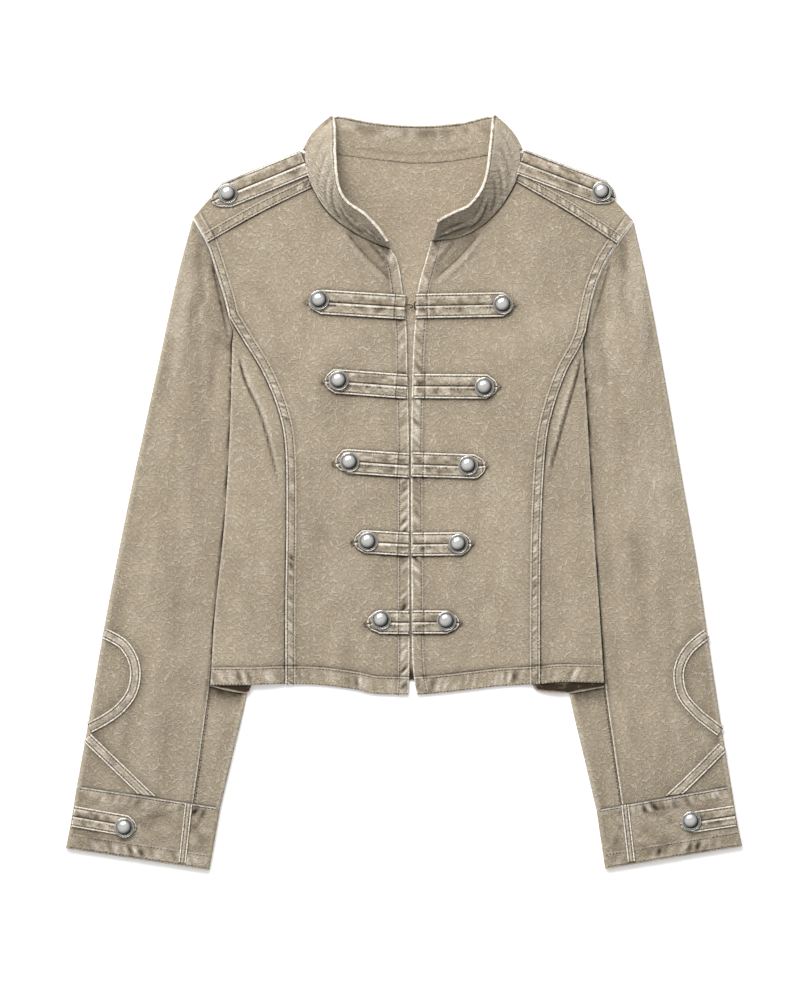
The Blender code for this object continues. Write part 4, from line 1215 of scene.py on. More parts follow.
def cuffFace(x, y, side):
    outer, inner = onSide(cuffOuterEdge, side), onSide(cuffInnerEdge, side)
    seam, hem = Line([outer[0], inner[0]]), Line([outer[-1], inner[-1]])
    rise, dark = creased(x, y, cuffCreases[side])
    puff = softNoise(x, y * 1.5, 13, 31) + 0.6 * softNoise(x, y * 1.4, 6, 32)
    rise = rise + 0.4 * puff
    # Painted highlights on the puff crests, painted shade in its hollows and the crease troughs, and the cuff
    # a little darker all over
    worn, soil = 0.16 * np.clip(puff, 0, 1), dark + 0.12 + 0.26 * np.clip(-puff, 0, 1)
    for line, style, seed in ((seam, "cuffTop", 11), (hem, "cuffHem", 12)):
        away, along, _ = lineReach(x, y, line)
        dz, pale, deep = seamLook(away, along, style, seed + (0 if side == "right" else 4))
        rise, worn, soil = rise + dz, worn + pale, soil + deep
    edge = np.minimum(lineReach(x, y, Line(outer))[0], lineReach(x, y, Line(inner))[0])
    return cloth["cuffHigh"] + rise * smoothStep((edge - 1.0) / 5), worn, soil


def makeCuff(side):
    place, thick = cuffPlan(side), cloth["doubleThick"]
    length = Line(onSide(cuffOuterEdge, side)).length
    v = spaced(length, [0.45, 0.8, 1.3, 1.9, 2.7], 1.5, [3.0, 2.2, 1.5, 0.8, 0.3, 0.0]) / length
    width = np.linalg.norm(place(1.0, v) - place(0.0, v), axis=1)[:, None]
    count = 66
    shares = np.arange(count + 1) / count
    flatU = (1 - 4.2 / width) + (8.4 / width - 1) * shares[None, :]
    spots = place(flatU, v[:, None])
    top, worn, soil = cuffFace(spots[..., 0], spots[..., 1], side)

    def baseAt(x, y):
        return np.full(np.shape(x), cloth["cuffHigh"])

    face, inside = flatPoints(spots, top, thick)
    outerFace, outerInside = foldPoints(place, v, 0, baseAt, thick, cloth["sleeveFlat"])
    innerFace, innerInside = foldPoints(place, v, 1, baseAt, thick, cloth["sleeveFlat"])
    under = place(np.linspace(0.06, 0.94, 12)[None, :] + np.zeros_like(width), v[:, None])
    flat = np.zeros(under.shape[:2])
    lowFace = np.concatenate([under, flat[..., None]], -1)
    lowInside = np.concatenate([under, flat[..., None] + thick], -1)
    faceGrid = np.concatenate([face, outerFace, lowFace, innerFace[:, ::-1]], 1)
    insideGrid = np.concatenate([inside, outerInside, lowInside, innerInside[:, ::-1]], 1)
    tones = paddedTones(worn, soil, faceGrid.shape[1] - top.shape[1])
    wallPiece(f"sleeveCuff_{side}", faceGrid, insideGrid, [f"cuff_{side}"], tones, ring=True)
    outer, inner = onSide(cuffOuterEdge, side), onSide(cuffInnerEdge, side)
    turn = 1 if side == "right" else -1
    for ends, aways, way in (
        ((outer[0], inner[0]), (1.9,), turn), ((outer[-1], inner[-1]), (12.5, 1.6), -turn)
    ):
        for away in aways:
            spots = rowBeside(Line(ends), away, way, 0.03, 0.97)
            sew(spots, cuffFace(spots[:, 0], spots[:, 1], side)[0] + 0.05)


# Yokes and collar


def yokeTop(x, y):
    away = np.where(insideBody(x, y), lineReach(x, y, bodyOutline)[0], 0.0)
    inward = cloth["layerGapInside"] + cloth["drape"]
    return 2 * cloth["thick"] + cloth["layerGapEdge"] + inward * smoothStep(away / 40)


def makeYoke(side):
    # Forward yoke: front seam, over the shoulder fold, to a seam just behind it
    front, fold, back = (Line(onSide(table, side)) for table in (yokeFrontSeam, shoulderEdge, yokeBackSeam))
    share = np.linspace(0.006, 0.994, 84)
    start, edge, end = front.at(share), fold.at(share), back.at(share)
    inward = (start - edge) / np.linalg.norm(start - edge, axis=1, keepdims=True)
    start = start - inward * cloth["seamGap"]
    width = np.linalg.norm(start - edge, axis=1)[:, None]
    radius = cloth["thick"] + cloth["layerGapEdge"] / 2
    close = np.array(
        [0.0, 0.45, 0.9, 1.35, 1.8, 2.4, 3.2, 4.2, 5.3, 6.3, 6.9, 7.4, 7.9, 8.5, 9.0, 9.5, 10.2, 11.2]
    )
    squeeze = np.minimum(1.0, (width - radius - 1.0) / 12.0)
    part = close[None, :] * squeeze / width
    last = 1 - (radius + 0.6) / width
    rest = part[:, -1:] + (last - part[:, -1:]) * (np.arange(1, 11) / 10)[None, :]
    part = np.concatenate([part, rest], 1)
    spots = start[:, None, :] * (1 - part[..., None]) + edge[:, None, :] * part[..., None]
    x, y = spots[..., 0], spots[..., 1]
    away, along, _ = lineReach(x, y, Line(front.points))
    rise, worn, soil = seamLook(away, along, "fell", 15 if side == "right" else 16)
    hole, _, _ = lineReach(x, y, Line([edge[-1], start[-1]]))
    neck, _, _ = lineReach(x, y, Line([edge[0], start[0]]))
    # Painted shade at the neck end, under the collar
    soil = soil + 0.55 * hump(neck, 0, 1.6) + 0.25 * np.exp(-neck / 5)
    worn = worn + 0.6 * hump(hole, 0.3, 0.8)
    rise = rise + 0.2 * softNoise(x, y, 14, 17)
    low = yokeTop(x, y) - cloth["thick"]
    worn = worn + 0.5 * hump(hole, 7.0, 0.7)
    soil = soil + 0.5 * hump(hole, 8.0, 0.8)
    seamLine = Line(start)
    for row in seamStyles["fell"]["rows"]:
        path = rowBeside(seamLine, row, -1 if side == "right" else 1, 0.02, 0.98)
        if np.mean(path[:, 1]) <= np.mean(start[:, 1]):
            path = 2 * seamLine.at(np.linspace(0.02, 0.98, len(path))) - path
        sew(path, yokeTop(path[:, 0], path[:, 1]) + 0.45)
    face = np.concatenate([spots, (low + cloth["thick"] + rise)[..., None]], -1)
    inside = np.concatenate([spots, low[..., None]], -1)
    grids = []
    for depth in (0.0, cloth["thick"]):
        reach = radius - depth
        out = radius - reach * np.cos(foldTurns)
        ring = edge[:, None, :] + inward[:, None, :] * out[None, :, None]
        high = np.broadcast_to(radius + reach * np.sin(foldTurns), ring.shape[:2])
        grids.append(np.concatenate([ring, high[..., None]], -1))
    hidden = end + (edge - end) / np.linalg.norm(edge - end, axis=1, keepdims=True) * cloth["seamGap"]
    tailFace = np.concatenate([hidden, np.zeros((len(share), 1))], 1)[:, None, :]
    tailInside = np.concatenate([hidden, np.full((len(share), 1), cloth["thick"])], 1)[:, None, :]
    faceGrid = np.concatenate([face, grids[0], tailFace], 1)
    insideGrid = np.concatenate([inside, grids[1], tailInside], 1)
    tones = paddedTones(worn, soil, faceGrid.shape[1] - worn.shape[1])
    wallPiece(f"shoulderYoke_{side}", faceGrid, insideGrid, [f"yoke_{side}"], tones)


# Each row of the collar: seam x, y, how far it stands off the cloth, then its top edge x, y, z
collarRight = [
    (-90, 300, 1.4, -63, 331, 13),
    (-86, 285, 1.4, -63, 312, 21),
    (-78, 269, 1.3, -62, 294, 27),
    (-68, 256, 1.2, -59, 277, 30),
    (-55, 245, 1.1, -51, 265, 33),
    (-40, 236, 1.0, -38, 256, 35),
    (-26, 229.5, 0.9, -25, 243, 37),
    (-14, 225.5, 0.8, -15, 229, 38),
]
collarLeft = [
    (106, 300, 1.4, 80, 330, 13),
    (102, 285, 1.4, 78, 311, 21),
    (94, 270, 1.3, 76, 294, 27),
    (84, 257, 1.2, 71, 278, 30),
    (70, 245, 1.1, 60, 263, 33),
    (54, 237, 1.0, 47, 256.5, 34),
    (39, 233, 0.9, 37, 251.5, 34),
    (26, 231.5, 0.8, 31, 248, 33),
]
collarFoldRight = ((-92.5, 314.5), (-66, 345))
collarFoldLeft = ((108.5, 314.5), (83, 345.5))
collarBackSeam = [(-72, 313), (-40, 308.6), (8, 303.6), (45, 305.6), (88, 313)]
collarBackTop = [(-58, 345.5), (-35, 341), (-12, 338), (19, 337), (49, 339), (75, 345)]

# Creases of the standing collar, in its flat plan: along it from the right front end, and up from the seam
collarCreases = [
    ([(3, 3), (12, 8), (24, 12), (34, 13)], 1.5, 2.0, -1.5, 0.75),
    ([(4, 7), (14, 12), (26, 15), (36, 17)], 1.5, 1.5, 1.2, -0.3),
    ([(6, 12), (18, 17), (30, 20)], 1.3, 1.8, -1.0, 0.6),
    ([(26, 4), (38, 8), (48, 13), (58, 21)], 1.7, 2.2, -1.6, 0.75),
    ([(28, 9), (40, 13), (50, 18), (59, 27)], 1.6, 1.6, 1.2, -0.3),
    ([(34, 17), (46, 21), (56, 28)], 1.4, 1.8, -1.0, 0.55),
    ([(50, 4), (60, 9), (70, 19), (76, 30)], 1.8, 2.4, -1.3, 0.6),
    ([(48, 9), (58, 14), (66, 23), (72, 33)], 1.6, 1.6, 1.0, -0.25),
    ([(70, 5), (80, 14), (88, 27), (92, 36)], 1.8, 1.8, -1.0, 0.42),
    ([(66, 7), (76, 17), (84, 30)], 1.7, 1.7, 0.9, -0.25),
    ([(88, 6), (98, 18), (106, 33)], 2.0, 2.0, -0.8, 0.34),
    ([(84, 8), (94, 20), (102, 34)], 1.8, 1.8, 0.8, -0.22),
    ([(106, 8), (114, 22), (120, 36)], 2.0, 2.0, -0.7, 0.28),
    ([(-3, 3), (-12, 7), (-24, 8), (-34, 7)], 2.0, 1.5, -1.5, 0.75),
    ([(-4, 8), (-14, 12), (-26, 12), (-36, 11)], 1.5, 1.5, 1.2, -0.3),
    ([(-5, 13), (-16, 17), (-30, 17)], 1.8, 1.3, -1.0, 0.6),
    ([(-28, 3), (-40, 7), (-50, 13), (-58, 20)], 2.2, 1.7, -1.5, 0.7),
    ([(-30, 8), (-42, 13), (-52, 19), (-60, 27)], 1.6, 1.6, 1.1, -0.28),
    ([(-36, 17), (-48, 22), (-56, 28)], 1.8, 1.4, -1.0, 0.5),
    ([(-52, 4), (-62, 10), (-70, 19), (-76, 30)], 2.4, 1.8, -1.2, 0.5),
    ([(-70, 6), (-80, 15), (-88, 28)], 1.8, 1.8, -0.9, 0.4),
    ([(-74, 5), (-84, 14), (-92, 27)], 1.7, 1.7, 0.8, -0.22),
    ([(-88, 6), (-98, 18), (-106, 33)], 2.0, 2.0, -0.8, 0.34),
    ([(-104, 8), (-112, 22), (-118, 36)], 2.0, 2.0, -0.6, 0.26),
]


def collarRows():
    # Seam line and top edge, from the right front end round the back to the left
    seam, top = [], []
    for neckX, neckY, rise, topX, topY, topZ in collarRight[::-1]:
        seam.append((neckX, neckY, float(frontTop(neckX, neckY)) + rise))
        top.append((topX, topY, topZ))
    seamBack, topBack = Line(collarBackSeam), Line(collarBackTop)
    under, over = cloth["collarThick"] / 2, cloth["collarThick"] * 1.5 + cloth["layerGapInside"]
    for (neck, crown), flip in ((collarFoldRight, False), (collarFoldLeft, True)):
        fold = []
        for height, inset in ((over, 2.0), ((over + under) / 2, 0.0), (under, 2.0)):
            dx, dy = (-inset if flip else inset), -inset * 0.5
            fold.append([(end[0] + dx, end[1] + dy, height) for end in (neck, crown)])
        if flip:
            for share in (0.0, 0.16, 0.33, 0.5, 0.67, 0.84, 1.0):
                seam.append((*(seamBack.at(share) - (0, 1.2)), under + 1.0))
                top.append((*topBack.at(share), under))
            fold = fold[::-1]
        seam += [ends[0] for ends in fold]
        top += [ends[1] for ends in fold]
    for neckX, neckY, rise, topX, topY, topZ in collarLeft:
        seam.append((neckX, neckY, float(frontTop(neckX, neckY)) + rise))
        top.append((topX, topY, topZ))
    return np.array(seam, float), np.array(top, float)


def makeCollar():
    seam, top = collarRows()
    parts = 9
    seam, top = roundedLine(seam, parts), roundedLine(top, parts)
    height = np.array(
        [
            0.0, 0.02, 0.05, 0.1, 0.16, 0.24, 0.32, 0.4, 0.48, 0.56, 0.64, 0.72, 0.79, 0.85, 0.9, 0.94,
            0.97, 0.99, 1.0,
        ]
    )
    middle = seam[:, None, :] * (1 - height[None, :, None]) + top[:, None, :] * height[None, :, None]
    spread = np.sin(math.pi * height)[None, :]
    turnRight = hump(seam[:, 0] - seam[:, 1] * 0.2, -155.0, 9.0)[:, None]
    turnLeft = hump(seam[:, 0] + seam[:, 1] * 0.2, 171.0, 9.0)[:, None]
    middle[..., 0] += 2.6 * spread * (turnLeft - turnRight)
    middle[..., 1] += 1.4 * spread * (turnLeft + turnRight)
    tall = np.linalg.norm(top - seam, axis=1)[:, None]
    marks = np.concatenate([[0], np.cumsum(np.linalg.norm(np.diff((seam + top) / 2, axis=0), axis=1))])
    along = marks[:, None]
    up = height[None, :] * tall
    rise, soil = creased(along + 0 * up, up, [row for row in collarCreases if row[0][0][0] > 0])
    more, dark = creased(along - marks[-1] + 0 * up, up, [row for row in collarCreases if row[0][0][0] < 0])
    rise, soil = rise + more, soil + dark
    ends = np.minimum(along, marks[-1] - along) + 0 * up
    # Crease ridges get painted highlights and crease troughs painted shade; painted shade deepens towards
    # both front ends
    worn = 1.2 * np.clip(-soil, 0, 1)
    soil = np.clip(1.05 * soil, 0, 1) + 0.06 * smoothStep((90 - ends) / 60)
    share = (marks / marks[-1])[:, None]
    fromTop, fromSeam = tall - up, up
    for away, run, style, seed in (
        (fromTop, along + 0 * fromTop, "collarEdge", 41), (ends, fromTop, "collarEdge", 42)
    ):
        dz, pale, deep = seamLook(away, run, style, seed)
        rise, worn, soil = rise + dz, worn + pale, soil + deep
    dz, pale, deep = seamLook(fromSeam, along + 0 * fromSeam, "collarEdge", 43)
    midHigh = middle[:, len(height) // 2, 2:3]
    lying = midHigh < 5.0
    flatness = smoothStep((9.0 - midHigh) / 5.0)
    rise = rise + dz * 0.7
    worn = worn + np.where(lying, 0.0, pale * 0.8)
    soil = soil + np.where(lying, 0.0, deep)
    # The lying back part: a stitch row under its top edge, soft puckers with painted highlights and painted
    # shade, and a faint row near the neck
    puff = softNoise(along + 0 * fromTop, fromTop * 0.8, 6.5, 45) * hump(fromTop, 9, 6)
    faint = 0.45 * hump(fromSeam, 7.5, 0.8) * (np.abs(share - 0.5) < 0.12)
    rise = rise + np.where(lying, 0.4 * puff, 0.0)
    worn = worn + np.where(lying, 0.3 * np.clip(puff, 0, 1), 0.0)
    soil = soil + np.where(lying, 0.55 * np.clip(-puff, 0, 1) + 0.4 * hump(fromTop, 2.4, 0.7) + faint, 0.0)
    rise += 0.25 * softNoise(along + 0 * fromTop, fromTop, 9, 44)
    # The standing parts are painted lighter, against the shade they fall into
    worn = worn + np.where(lying, 0.0, 0.12)
    before, after = np.roll(middle, 1, 0), np.roll(middle, -1, 0)
    before[0], after[-1] = middle[0], middle[-1]
    run = after - before
    across = np.gradient(middle, axis=1)
    out = np.cross(run, across)
    out /= np.linalg.norm(out, axis=-1, keepdims=True)
    half = cloth["collarThick"] / 2 * (1 - 0.6 * np.where(lying, hump(fromSeam, 0, 7), 0.0))
    # From above, the lying part shows its inner side and the standing parts their outer one
    face = middle + out * (half + rise * flatness)[..., None]
    inside = middle - out * (half + rise * (1 - flatness))[..., None]
    inside[..., 2] = np.maximum(inside[..., 2], 0.0)
    middleOf = len(marks) // 2
    standing = midHigh[:, 0] > 9.0
    turn = np.arange(len(marks))
    for part in (standing & (turn < middleOf), lying[:, 0], standing & (turn > middleOf)):
        grid = face if part[middleOf] else inside
        path = []
        for index in np.flatnonzero(part):
            high = tall[index, 0] - 2.4
            path.append([np.interp(high, up[index], grid[index, :, axis]) for axis in range(3)])
        path = np.array(path)
        sew(path[:, :2], path[:, 2] + 0.1)
    # The lying back part shows its inner side, so that side carries the same wear and painted light
    made = wallPiece("standCollar", face, inside, ["collar"], {"worn": worn, "soil": soil})
    total = face.shape[0] * face.shape[1]
    for key, values in (("worn", worn), ("soil", soil)):
        data = made.data.attributes[key].data
        full = np.zeros(total * 2)
        data.foreach_get("value", full)
        full[total:] = values.ravel()
        data.foreach_set("value", full)


# Straps and trim

strapStyles = {
    "tab": {
        "rows": (2.3,), "centre": True, "wave": 6.3, "waveRise": 0.26, "edge": 1.1, "pale": 1.0,
        "facingAt": 9.6,
    },
    "shoulder": {
        "rows": (2.0,), "centre": True, "wave": 6.8, "waveRise": 0.2, "edge": 1.0, "pale": 0.95,
        "facingAt": None,
    },
    "cuff": {
        "rows": (2.2,), "centre": True, "wave": 6.6, "waveRise": 0.22, "edge": 1.0, "pale": 1.0,
        "facingAt": None,
    },
    "braid": {
        "rows": (2.2,), "centre": False, "wave": 6.0, "waveRise": 0.14, "edge": 0.7, "pale": 1.0,
        "facingAt": None,
    },
    "vent": {
        "rows": (2.1,), "centre": False, "wave": 3.2, "waveRise": 0.16, "edge": 0.6, "pale": 0.9,
        "facingAt": None,
    },
}


def strapLook(inward, aside, along, style, seed, turn):
    look = strapStyles[style]
    row = look["rows"][0]
    fray = 0.85 + 0.25 * softNoise(along, aside * 0 + seed * 3.0, 4.0, seed + 7)
    rise = -0.9 * look["edge"] * (1 - np.clip(inward / look["edge"], 0, 1)) ** 2
    worn = 1.5 * look["pale"] * fray * hump(inward, 0.95, 0.65)
    # Painted shade along the very edge of the band and in its stitch furrow
    soil = 0.95 * hump(inward, 0.0, 0.45) + 0.55 * hump(inward, row, 0.6)
    rise -= 0.35 * hump(inward, row, 0.6)
    worn += 0.3 * hump(inward, row + 1.3, 0.7)
    puff = softNoise(along, aside * 1.7 + seed * 31.0, look["wave"] * 0.8, seed)
    puff = puff + 0.5 * softNoise(along, aside * 1.2 + seed, 2.6, seed + 2)
    reach = inward.max()
    window = smoothStep((inward - row) / 1.6) * (1 - 0.6 * smoothStep((inward - reach * 0.7) / (reach * 0.3)))
    rise += 1.3 * look["waveRise"] * puff * window
    # Painted highlights on the pucker crests and painted shade in their troughs
    worn += 0.34 * np.clip(puff, 0, 1) * window
    soil += 0.55 * np.clip(-puff, 0, 1) * window
    if look["centre"]:
        # Upper is plus on the wearer's left and minus on the right
        upper = aside * turn
        # A pressed ridge down the middle with a painted highlight, and a dip beside it with painted shade
        rise += 0.45 * hump(upper, -1.1, 0.6) - 0.5 * hump(upper, 0.4, 0.6)
        worn += 1.0 * hump(upper, -1.1, 0.55)
        soil += 1.15 * hump(upper, 0.4, 0.6) + 0.35 * hump(upper, -2.6, 0.6) + 0.2 * hump(upper, 2.4, 0.8)
    facing = look["facingAt"]
    if facing:
        near = smoothStep(facing - along)
        # A stitch row across the band where the facing ends, with painted shade before it and a painted
        # highlight past it
        rise -= 0.35 * hump(along, facing, 0.7)
        soil += 0.15 * hump(along, facing, 0.7) + 0.1 * near * hump(along, facing - 2.0, 1.2)
        worn += 0.4 * hump(along, facing + 1.6, 0.8)
    rise -= 0.7 * (1 - np.clip(along / 0.9, 0, 1)) ** 2
    worn += 0.7 * look["pale"] * hump(along, 0.3, 0.6)
    return rise, worn, soil


def leanAt(share, length, lean):
    # How far a slanted band has leaned at each place, all of it over the last stretch
    return lean * smoothStep((share * length - length + braid["leanOver"]) / braid["leanOver"])


def makeStrap(name, node, line, halfAt, topAt, gap, thick, style, seed, closeEnd=True, lean=0.0):
    # A flat band of cloth along a plan line, sewn down along its edges; lean slants the cut of its far end
    length = line.length
    end = [3.0, 1.8, 0.9, 0.4, 0.0] if closeEnd else [0.0]
    share = spaced(length, [0.0, 0.4, 0.9, 1.6], 1.4, end) / length
    half = halfAt(share)[:, None]
    full = half.max()
    edges = np.array([0.0, 0.25, 0.55, 0.95, 1.4, 1.9, 2.3, 2.8, 3.5])
    edges = edges[edges < full * 0.8]
    middle = np.array([-1.7, -1.1, -0.5, 0.0, 0.5, 1.1]) if full > 6 else np.array([0.0])
    left, right = -full + edges, full - edges[::-1]
    fillCount = max(int(round((abs(left[-1]) - abs(middle[0])) / 1.7)), 1)
    fill = np.linspace(left[-1], middle[0], fillCount + 1)[1:-1]
    fillRight = np.linspace(middle[-1], right[0], fillCount + 1)[1:-1]
    aside = np.concatenate([left, fill, middle, fillRight, right])[None, :] / full * half
    spots, heading = line.at(share), line.heading(share)
    across = np.stack([-heading[:, 1], heading[:, 0]], -1)
    slanted = leanAt(share, length, lean)[:, None] * aside
    place = spots[:, None, :] + across[:, None, :] * aside[..., None]
    place = place + heading[:, None, :] * slanted[..., None]
    x, y = place[..., 0], place[..., 1]
    along = share[:, None] * length + 0 * aside
    inward = np.minimum(half - np.abs(aside), (length - along) * 0.8 + 0.2 if closeEnd else 99.0)
    turn = 1 if heading[0, 0] > 0 else -1
    rise, worn, soil = strapLook(inward, aside, along, style, seed, turn)
    base = topAt(x, y)
    face = np.concatenate([place, (base + gap + thick + rise)[..., None]], -1)
    inside = np.concatenate([place, (base + min(gap, 0.3))[..., None]], -1)
    wallPiece(name, face, inside, [node], {"worn": worn, "soil": soil})
    row = strapStyles[style]["rows"][0]
    rowShare = np.linspace(0, 1 if not closeEnd else 1 - 3.0 / length, max(int(length / 1.5), 2))
    rowHalf, rowSpots, rowHeading = halfAt(rowShare), line.at(rowShare), line.heading(rowShare)
    rowAcross = np.stack([-rowHeading[:, 1], rowHeading[:, 0]], -1)
    rows = [rowSpots + rowAcross * (end * np.maximum(rowHalf - row, 0.5))[:, None] for end in (-1, 1)]
    if lean:
        slant = leanAt(rowShare, length, lean) * (rowHalf - row)
        rows = [spots + rowHeading * (end * slant)[:, None] for spots, end in zip(rows, (-1, 1))]
    if strapStyles[style]["centre"]:
        rows += [rowSpots + rowAcross * (turn * 0.4), rowSpots - rowAcross * (turn * 2.6)]
    if strapStyles[style]["facingAt"]:
        spot, way = line.at(strapStyles[style]["facingAt"] / length), across[0]
        rows.append(spot + way * np.linspace(-full + 0.8, full - 0.8, 14)[:, None])
    for spots in rows:
        sew(spots, topAt(spots[:, 0], spots[:, 1]) + gap + thick - 0.12)


cuffTabs = {
    "right": (-304.2, -298.5, -256, -307, -246, -310, -257, -309, 20),
    "left": (304.2, -298, 265, -304, 254, -307, 264, -303, 20),
}
shoulderStraps = {
    "right": (-91.2, 302.2, -163, 272.5, -177, 266.5, -162, 274, 24),
    "left": (107.2, 303.2, 181, 275, 194, 269.5, 182, 276, 24),
}
ventStrip = [(-198, -287.5, 203, -288), (-204, -341, 209, -340)]

# The struck button: reach as a share of its radius, and height
button = {
    "radius": 9.2,
    "sides": 44,
    "gap": 0.35,
    "profile": [
        (0.50, 0.0),
        (0.92, 0.15),
        (0.985, 0.6),
        (1.0, 1.2),
        (0.99, 1.75),
        (0.975, 2.1),
        (0.93, 2.2),
        (0.885, 2.1),
        (0.865, 1.5),
        (0.855, 1.5),
        (0.845, 2.0),
        (0.825, 2.75),
        (0.79, 3.4),
        (0.705, 4.1),
        (0.59, 4.75),
        (0.45, 5.25),
        (0.30, 5.6),
        (0.15, 5.8),
    ],
    "high": 5.85,
}


def makeButton(name, node, x, y, topAt, clear):
    reach = button["radius"]
    around = np.array([(0, 0), (1, 0), (-1, 0), (0, 1), (0, -1)]) * reach + (x, y)
    seat = float(np.max(topAt(around[:, 0], around[:, 1]))) + clear + cloth["doubleThick"] + button["gap"]
    turns = np.arange(button["sides"]) / button["sides"] * 2 * math.pi
    rings = [
        np.stack(
            [
                x + share * reach * np.cos(turns),
                y + share * reach * np.sin(turns),
                np.full(len(turns), seat + height),
            ],
            -1,
        )
        for share, height in button["profile"]
    ]
    points = np.concatenate([*rings, [[x, y, seat], [x, y, seat + button["high"]]]]) * mm
    count = button["sides"]
    faces = []
    for ring in range(len(rings) - 1):
        for index in range(count):
            after = (index + 1) % count
            a, b = ring * count + index, ring * count + after
            faces.append((a, b, b + count, a + count))
    last = len(rings) * count
    for index in range(count):
        after = (index + 1) % count
        faces.append((after, index, last))
        faces.append((last - count + index, last - count + after, last + 1))
    mesh = bpy.data.meshes.new(name)
    mesh.from_pydata(points, [], faces)
    mesh.shade_smooth()
    mesh.materials.append(satinNickel)
    made = bpy.data.objects.new(name, mesh)
    bpy.context.scene.collection.objects.link(made)
    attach(made, "root")
    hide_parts(node)


def foldDrop(x, y, edge, high):
    # How far a rounded fold has fallen at each place near its edge
    away = np.minimum(lineReach(x, y, edge)[0], high / 2)
    radius = high / 2
    return radius - np.sqrt(np.maximum(radius**2 - (radius - away) ** 2, 0.0))


def sleeveTopAt(side):
    edge = Line(onSide(sleeveOuterEdge, side))

    def topAt(x, y):
        high = sleeveBase(x, y, side)[0]
        return high - foldDrop(x, y, edge, high)

    return topAt


def cuffTopAt(x, y):
    return np.full(np.shape(x), cloth["cuffHigh"])


def cuffFoldAt(side):
    edge = Line(onSide(cuffOuterEdge, side))
    return lambda x, y: cuffTopAt(x, y) - foldDrop(x, y, edge, cuffTopAt(x, y))


def shoulderTopAt(side):
    edge = Line(onSide(shoulderEdge, side))

    def topAt(x, y):
        away = lineReach(x, y, edge)[0]
        return yokeTop(x, y) - 2.6 * (1 - np.clip(away / 3.2, 0, 1)) ** 2

    return topAt


def evenHalf(wide):
    # Half width of a band that is as wide all along
    return lambda share: np.full(len(share), wide / 2)


def makeTrim(side):
    front = tabsRight if side == "right" else tabsLeft
    shift = 0 if side == "right" else 50
    for number, tab in enumerate(front, 1):
        strap = (f"frontTab_{side}_{number}", f"tab_{side}_{number}", tabLine(tab), tabHalf(tab))
        makeStrap(*strap, frontTop, cloth["trimGap"], cloth["doubleThick"], "tab", 60 + number + shift)
        knob = (f"frontButton_{side}_{number}", f"button_{side}_{number}", tab[6], tab[7])
        makeButton(*knob, frontTop, cloth["trimGap"])
    tab = shoulderStraps[side]
    strap = (f"shoulderStrap_{side}", f"epaulette_{side}", tabLine(tab), tabHalf(tab))
    makeStrap(
        *strap, shoulderTopAt(side), cloth["shoulderStrapGap"], cloth["doubleThick"], "shoulder", 71 + shift
    )
    knob = (f"shoulderButton_{side}", f"button_epaulette_{side}", tab[6], tab[7])
    makeButton(*knob, yokeTop, cloth["shoulderTrimGap"])
    tab = cuffTabs[side]
    strap = (f"cuffStrap_{side}", f"cuff_tab_{side}", tabLine(tab), tabHalf(tab))
    makeStrap(*strap, cuffFoldAt(side), cloth["cuffTrimGap"], cloth["doubleThick"], "cuff", 72 + shift)
    makeButton(f"cuffButton_{side}", f"button_cuff_{side}", tab[6], tab[7], cuffTopAt, cloth["cuffTrimGap"])
    lean = braid["lean"] * (1 if side == "right" else -1)
    laid = (sleeveTopAt(side), cloth["braidGap"], braid["thick"], "braid")
    loop = (f"braidLoop_{side}", f"braid_loop_{side}", Line(onSide(braidLoop, side)), evenHalf(braid["wide"]))
    makeStrap(*loop, *laid, 73 + shift, False, 0.0)
    slope = Line(onSide(braidDiagonal, side))
    diagonal = (f"braidDiagonal_{side}", f"braid_diagonal_{side}", slope, evenHalf(braid["wide"]))
    makeStrap(*diagonal, *laid, 74 + shift, False, lean)
    strip = Line(onSide(ventStrip, side))
    vent = (f"cuffVent_{side}", f"cuff_vent_{side}", strip, evenHalf(braid["ventWide"]))
    makeStrap(*vent, cuffTopAt, cloth["cuffTrimGap"], cloth["thick"], "vent", 75 + shift, False)


for sideName in ("right", "left"):
    makeSleeve(sideName)
    makeCuff(sideName)
    makeYoke(sideName)
    makeTrim(sideName)
print("sleeves, yokes and trim made")
makeCollar()
print("collar made")

# Stitches, and the hook and eye

thread = {
    "pitch": 3.0,
    "long": 2.1,
    "wide": 0.85,
    "unevenness": 0.25,
    "seed": 4,
    "colour": "#46362A",
    "fading": 11.0,
    "roughness": 0.8,
    "specular": 0.2,
}


def makeThread():
    # Spun polyester sewing thread, dyed brown: matt and slightly fuzzy
    made, tree, shader, where = newMaterial("spunPolyesterThread")
    patches = noise(tree, where, thread["fading"], 2.0)["Fac"]
    colour = shaded(tree, thread["colour"], ranged(tree, patches, 0.35, 0.65, 0.6, 1.9))
    tree.links.new(colour, shader.inputs["Base Color"])
    shader.inputs["Roughness"].default_value = thread["roughness"]
    shader.inputs["Specular IOR Level"].default_value = thread["specular"]
    return made


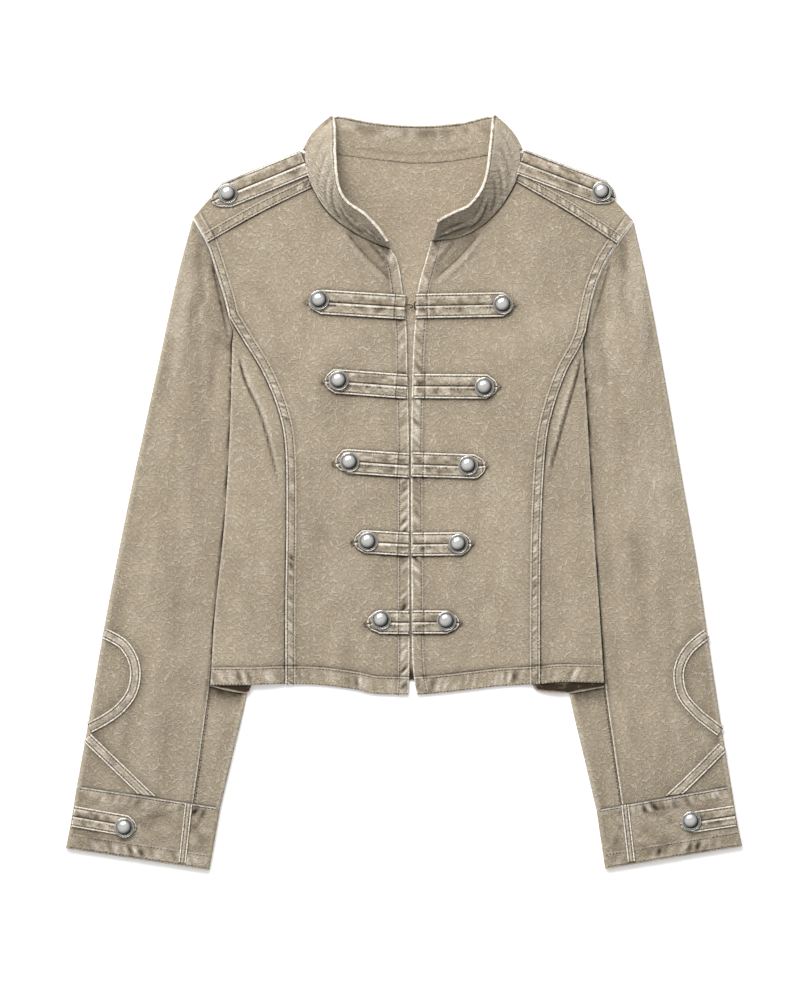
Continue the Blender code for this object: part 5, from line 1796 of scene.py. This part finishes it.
def stitchTree(material):
    # Short thread grains, set end to end along every row
    tree = bpy.data.node_groups.new("stitchRows", "GeometryNodeTree")
    face = tree.interface
    face.new_socket("Rows", in_out="INPUT", socket_type="NodeSocketGeometry")
    named = {}
    for label, kind in (
        ("Pitch", "NodeSocketFloat"),
        ("Thread Size", "NodeSocketVector"),
        ("Unevenness", "NodeSocketFloat"),
        ("Seed", "NodeSocketInt"),
    ):
        named[label] = face.new_socket(label, in_out="INPUT", socket_type=kind).identifier
    face.new_socket("Stitches", in_out="OUTPUT", socket_type="NodeSocketGeometry")
    entry = addNode(tree, "NodeGroupInput").outputs
    curve = addNode(tree, "GeometryNodeMeshToCurve", links={"Mesh": entry["Rows"]})
    points = addNode(
        tree,
        "GeometryNodeCurveToPoints",
        {"mode": "LENGTH"},
        {"Curve": curve.outputs[0], "Length": entry["Pitch"]},
    )
    grain = addNode(tree, "GeometryNodeMeshIcoSphere", values={"Radius": 1.0, "Subdivisions": 1})
    shaped = addNode(
        tree,
        "GeometryNodeTransform",
        links={"Geometry": grain.outputs["Mesh"], "Scale": entry["Thread Size"]},
    )
    least = addNode(tree, "ShaderNodeMath", {"operation": "SUBTRACT"}, {1: entry["Unevenness"]}, {0: 1.0})
    most = addNode(tree, "ShaderNodeMath", {"operation": "ADD"}, {1: entry["Unevenness"]}, {0: 1.0})
    vary = addNode(
        tree,
        "FunctionNodeRandomValue",
        {"data_type": "FLOAT"},
        {2: least.outputs[0], 3: most.outputs[0], "Seed": entry["Seed"]},
    )
    placed = addNode(
        tree,
        "GeometryNodeInstanceOnPoints",
        links={
            "Points": points.outputs["Points"],
            "Instance": shaped.outputs["Geometry"],
            "Rotation": points.outputs["Rotation"],
            "Scale": vary.outputs[1],
        },
    )
    real = addNode(tree, "GeometryNodeRealizeInstances", links={"Geometry": placed.outputs["Instances"]})
    dressed = addNode(
        tree,
        "GeometryNodeSetMaterial",
        links={"Geometry": real.outputs["Geometry"]},
        values={"Material": material},
    )
    addNode(tree, "NodeGroupOutput", links={"Stitches": dressed.outputs["Geometry"]})
    return tree, named


def makeStitches():
    points, edges = [], []
    for row in stitchRows:
        first = len(points)
        points += row.tolist()
        edges += [(first + index, first + index + 1) for index in range(len(row) - 1)]
    mesh = bpy.data.meshes.new("stitchRows")
    mesh.from_pydata(points, edges, [])
    holder = bpy.data.objects.new("stitchRows", mesh)
    bpy.context.scene.collection.objects.link(holder)
    tree, named = stitchTree(makeThread())
    maker = holder.modifiers.new("stitches", "NODES")
    maker.node_group = tree
    maker[named["Pitch"]] = thread["pitch"] * mm
    maker[named["Thread Size"]] = (thread["wide"] / 2 * mm, thread["wide"] / 2 * mm, thread["long"] / 2 * mm)
    maker[named["Unevenness"]] = thread["unevenness"]
    maker[named["Seed"]] = thread["seed"]
    ready = holder.evaluated_get(bpy.context.evaluated_depsgraph_get())
    plain = bpy.data.meshes.new_from_object(ready)
    holder.modifiers.remove(maker)
    bpy.data.objects.remove(holder)
    made = bpy.data.objects.new("topStitches", plain)
    bpy.context.scene.collection.objects.link(made)
    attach(made, "root")
    print("stitches made:", len(plain.polygons), "faces")


makeStitches()
for node in ("hook", "eye"):
    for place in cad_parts[node].material_slots:
        place.link = "OBJECT"
        place.material = blackWire
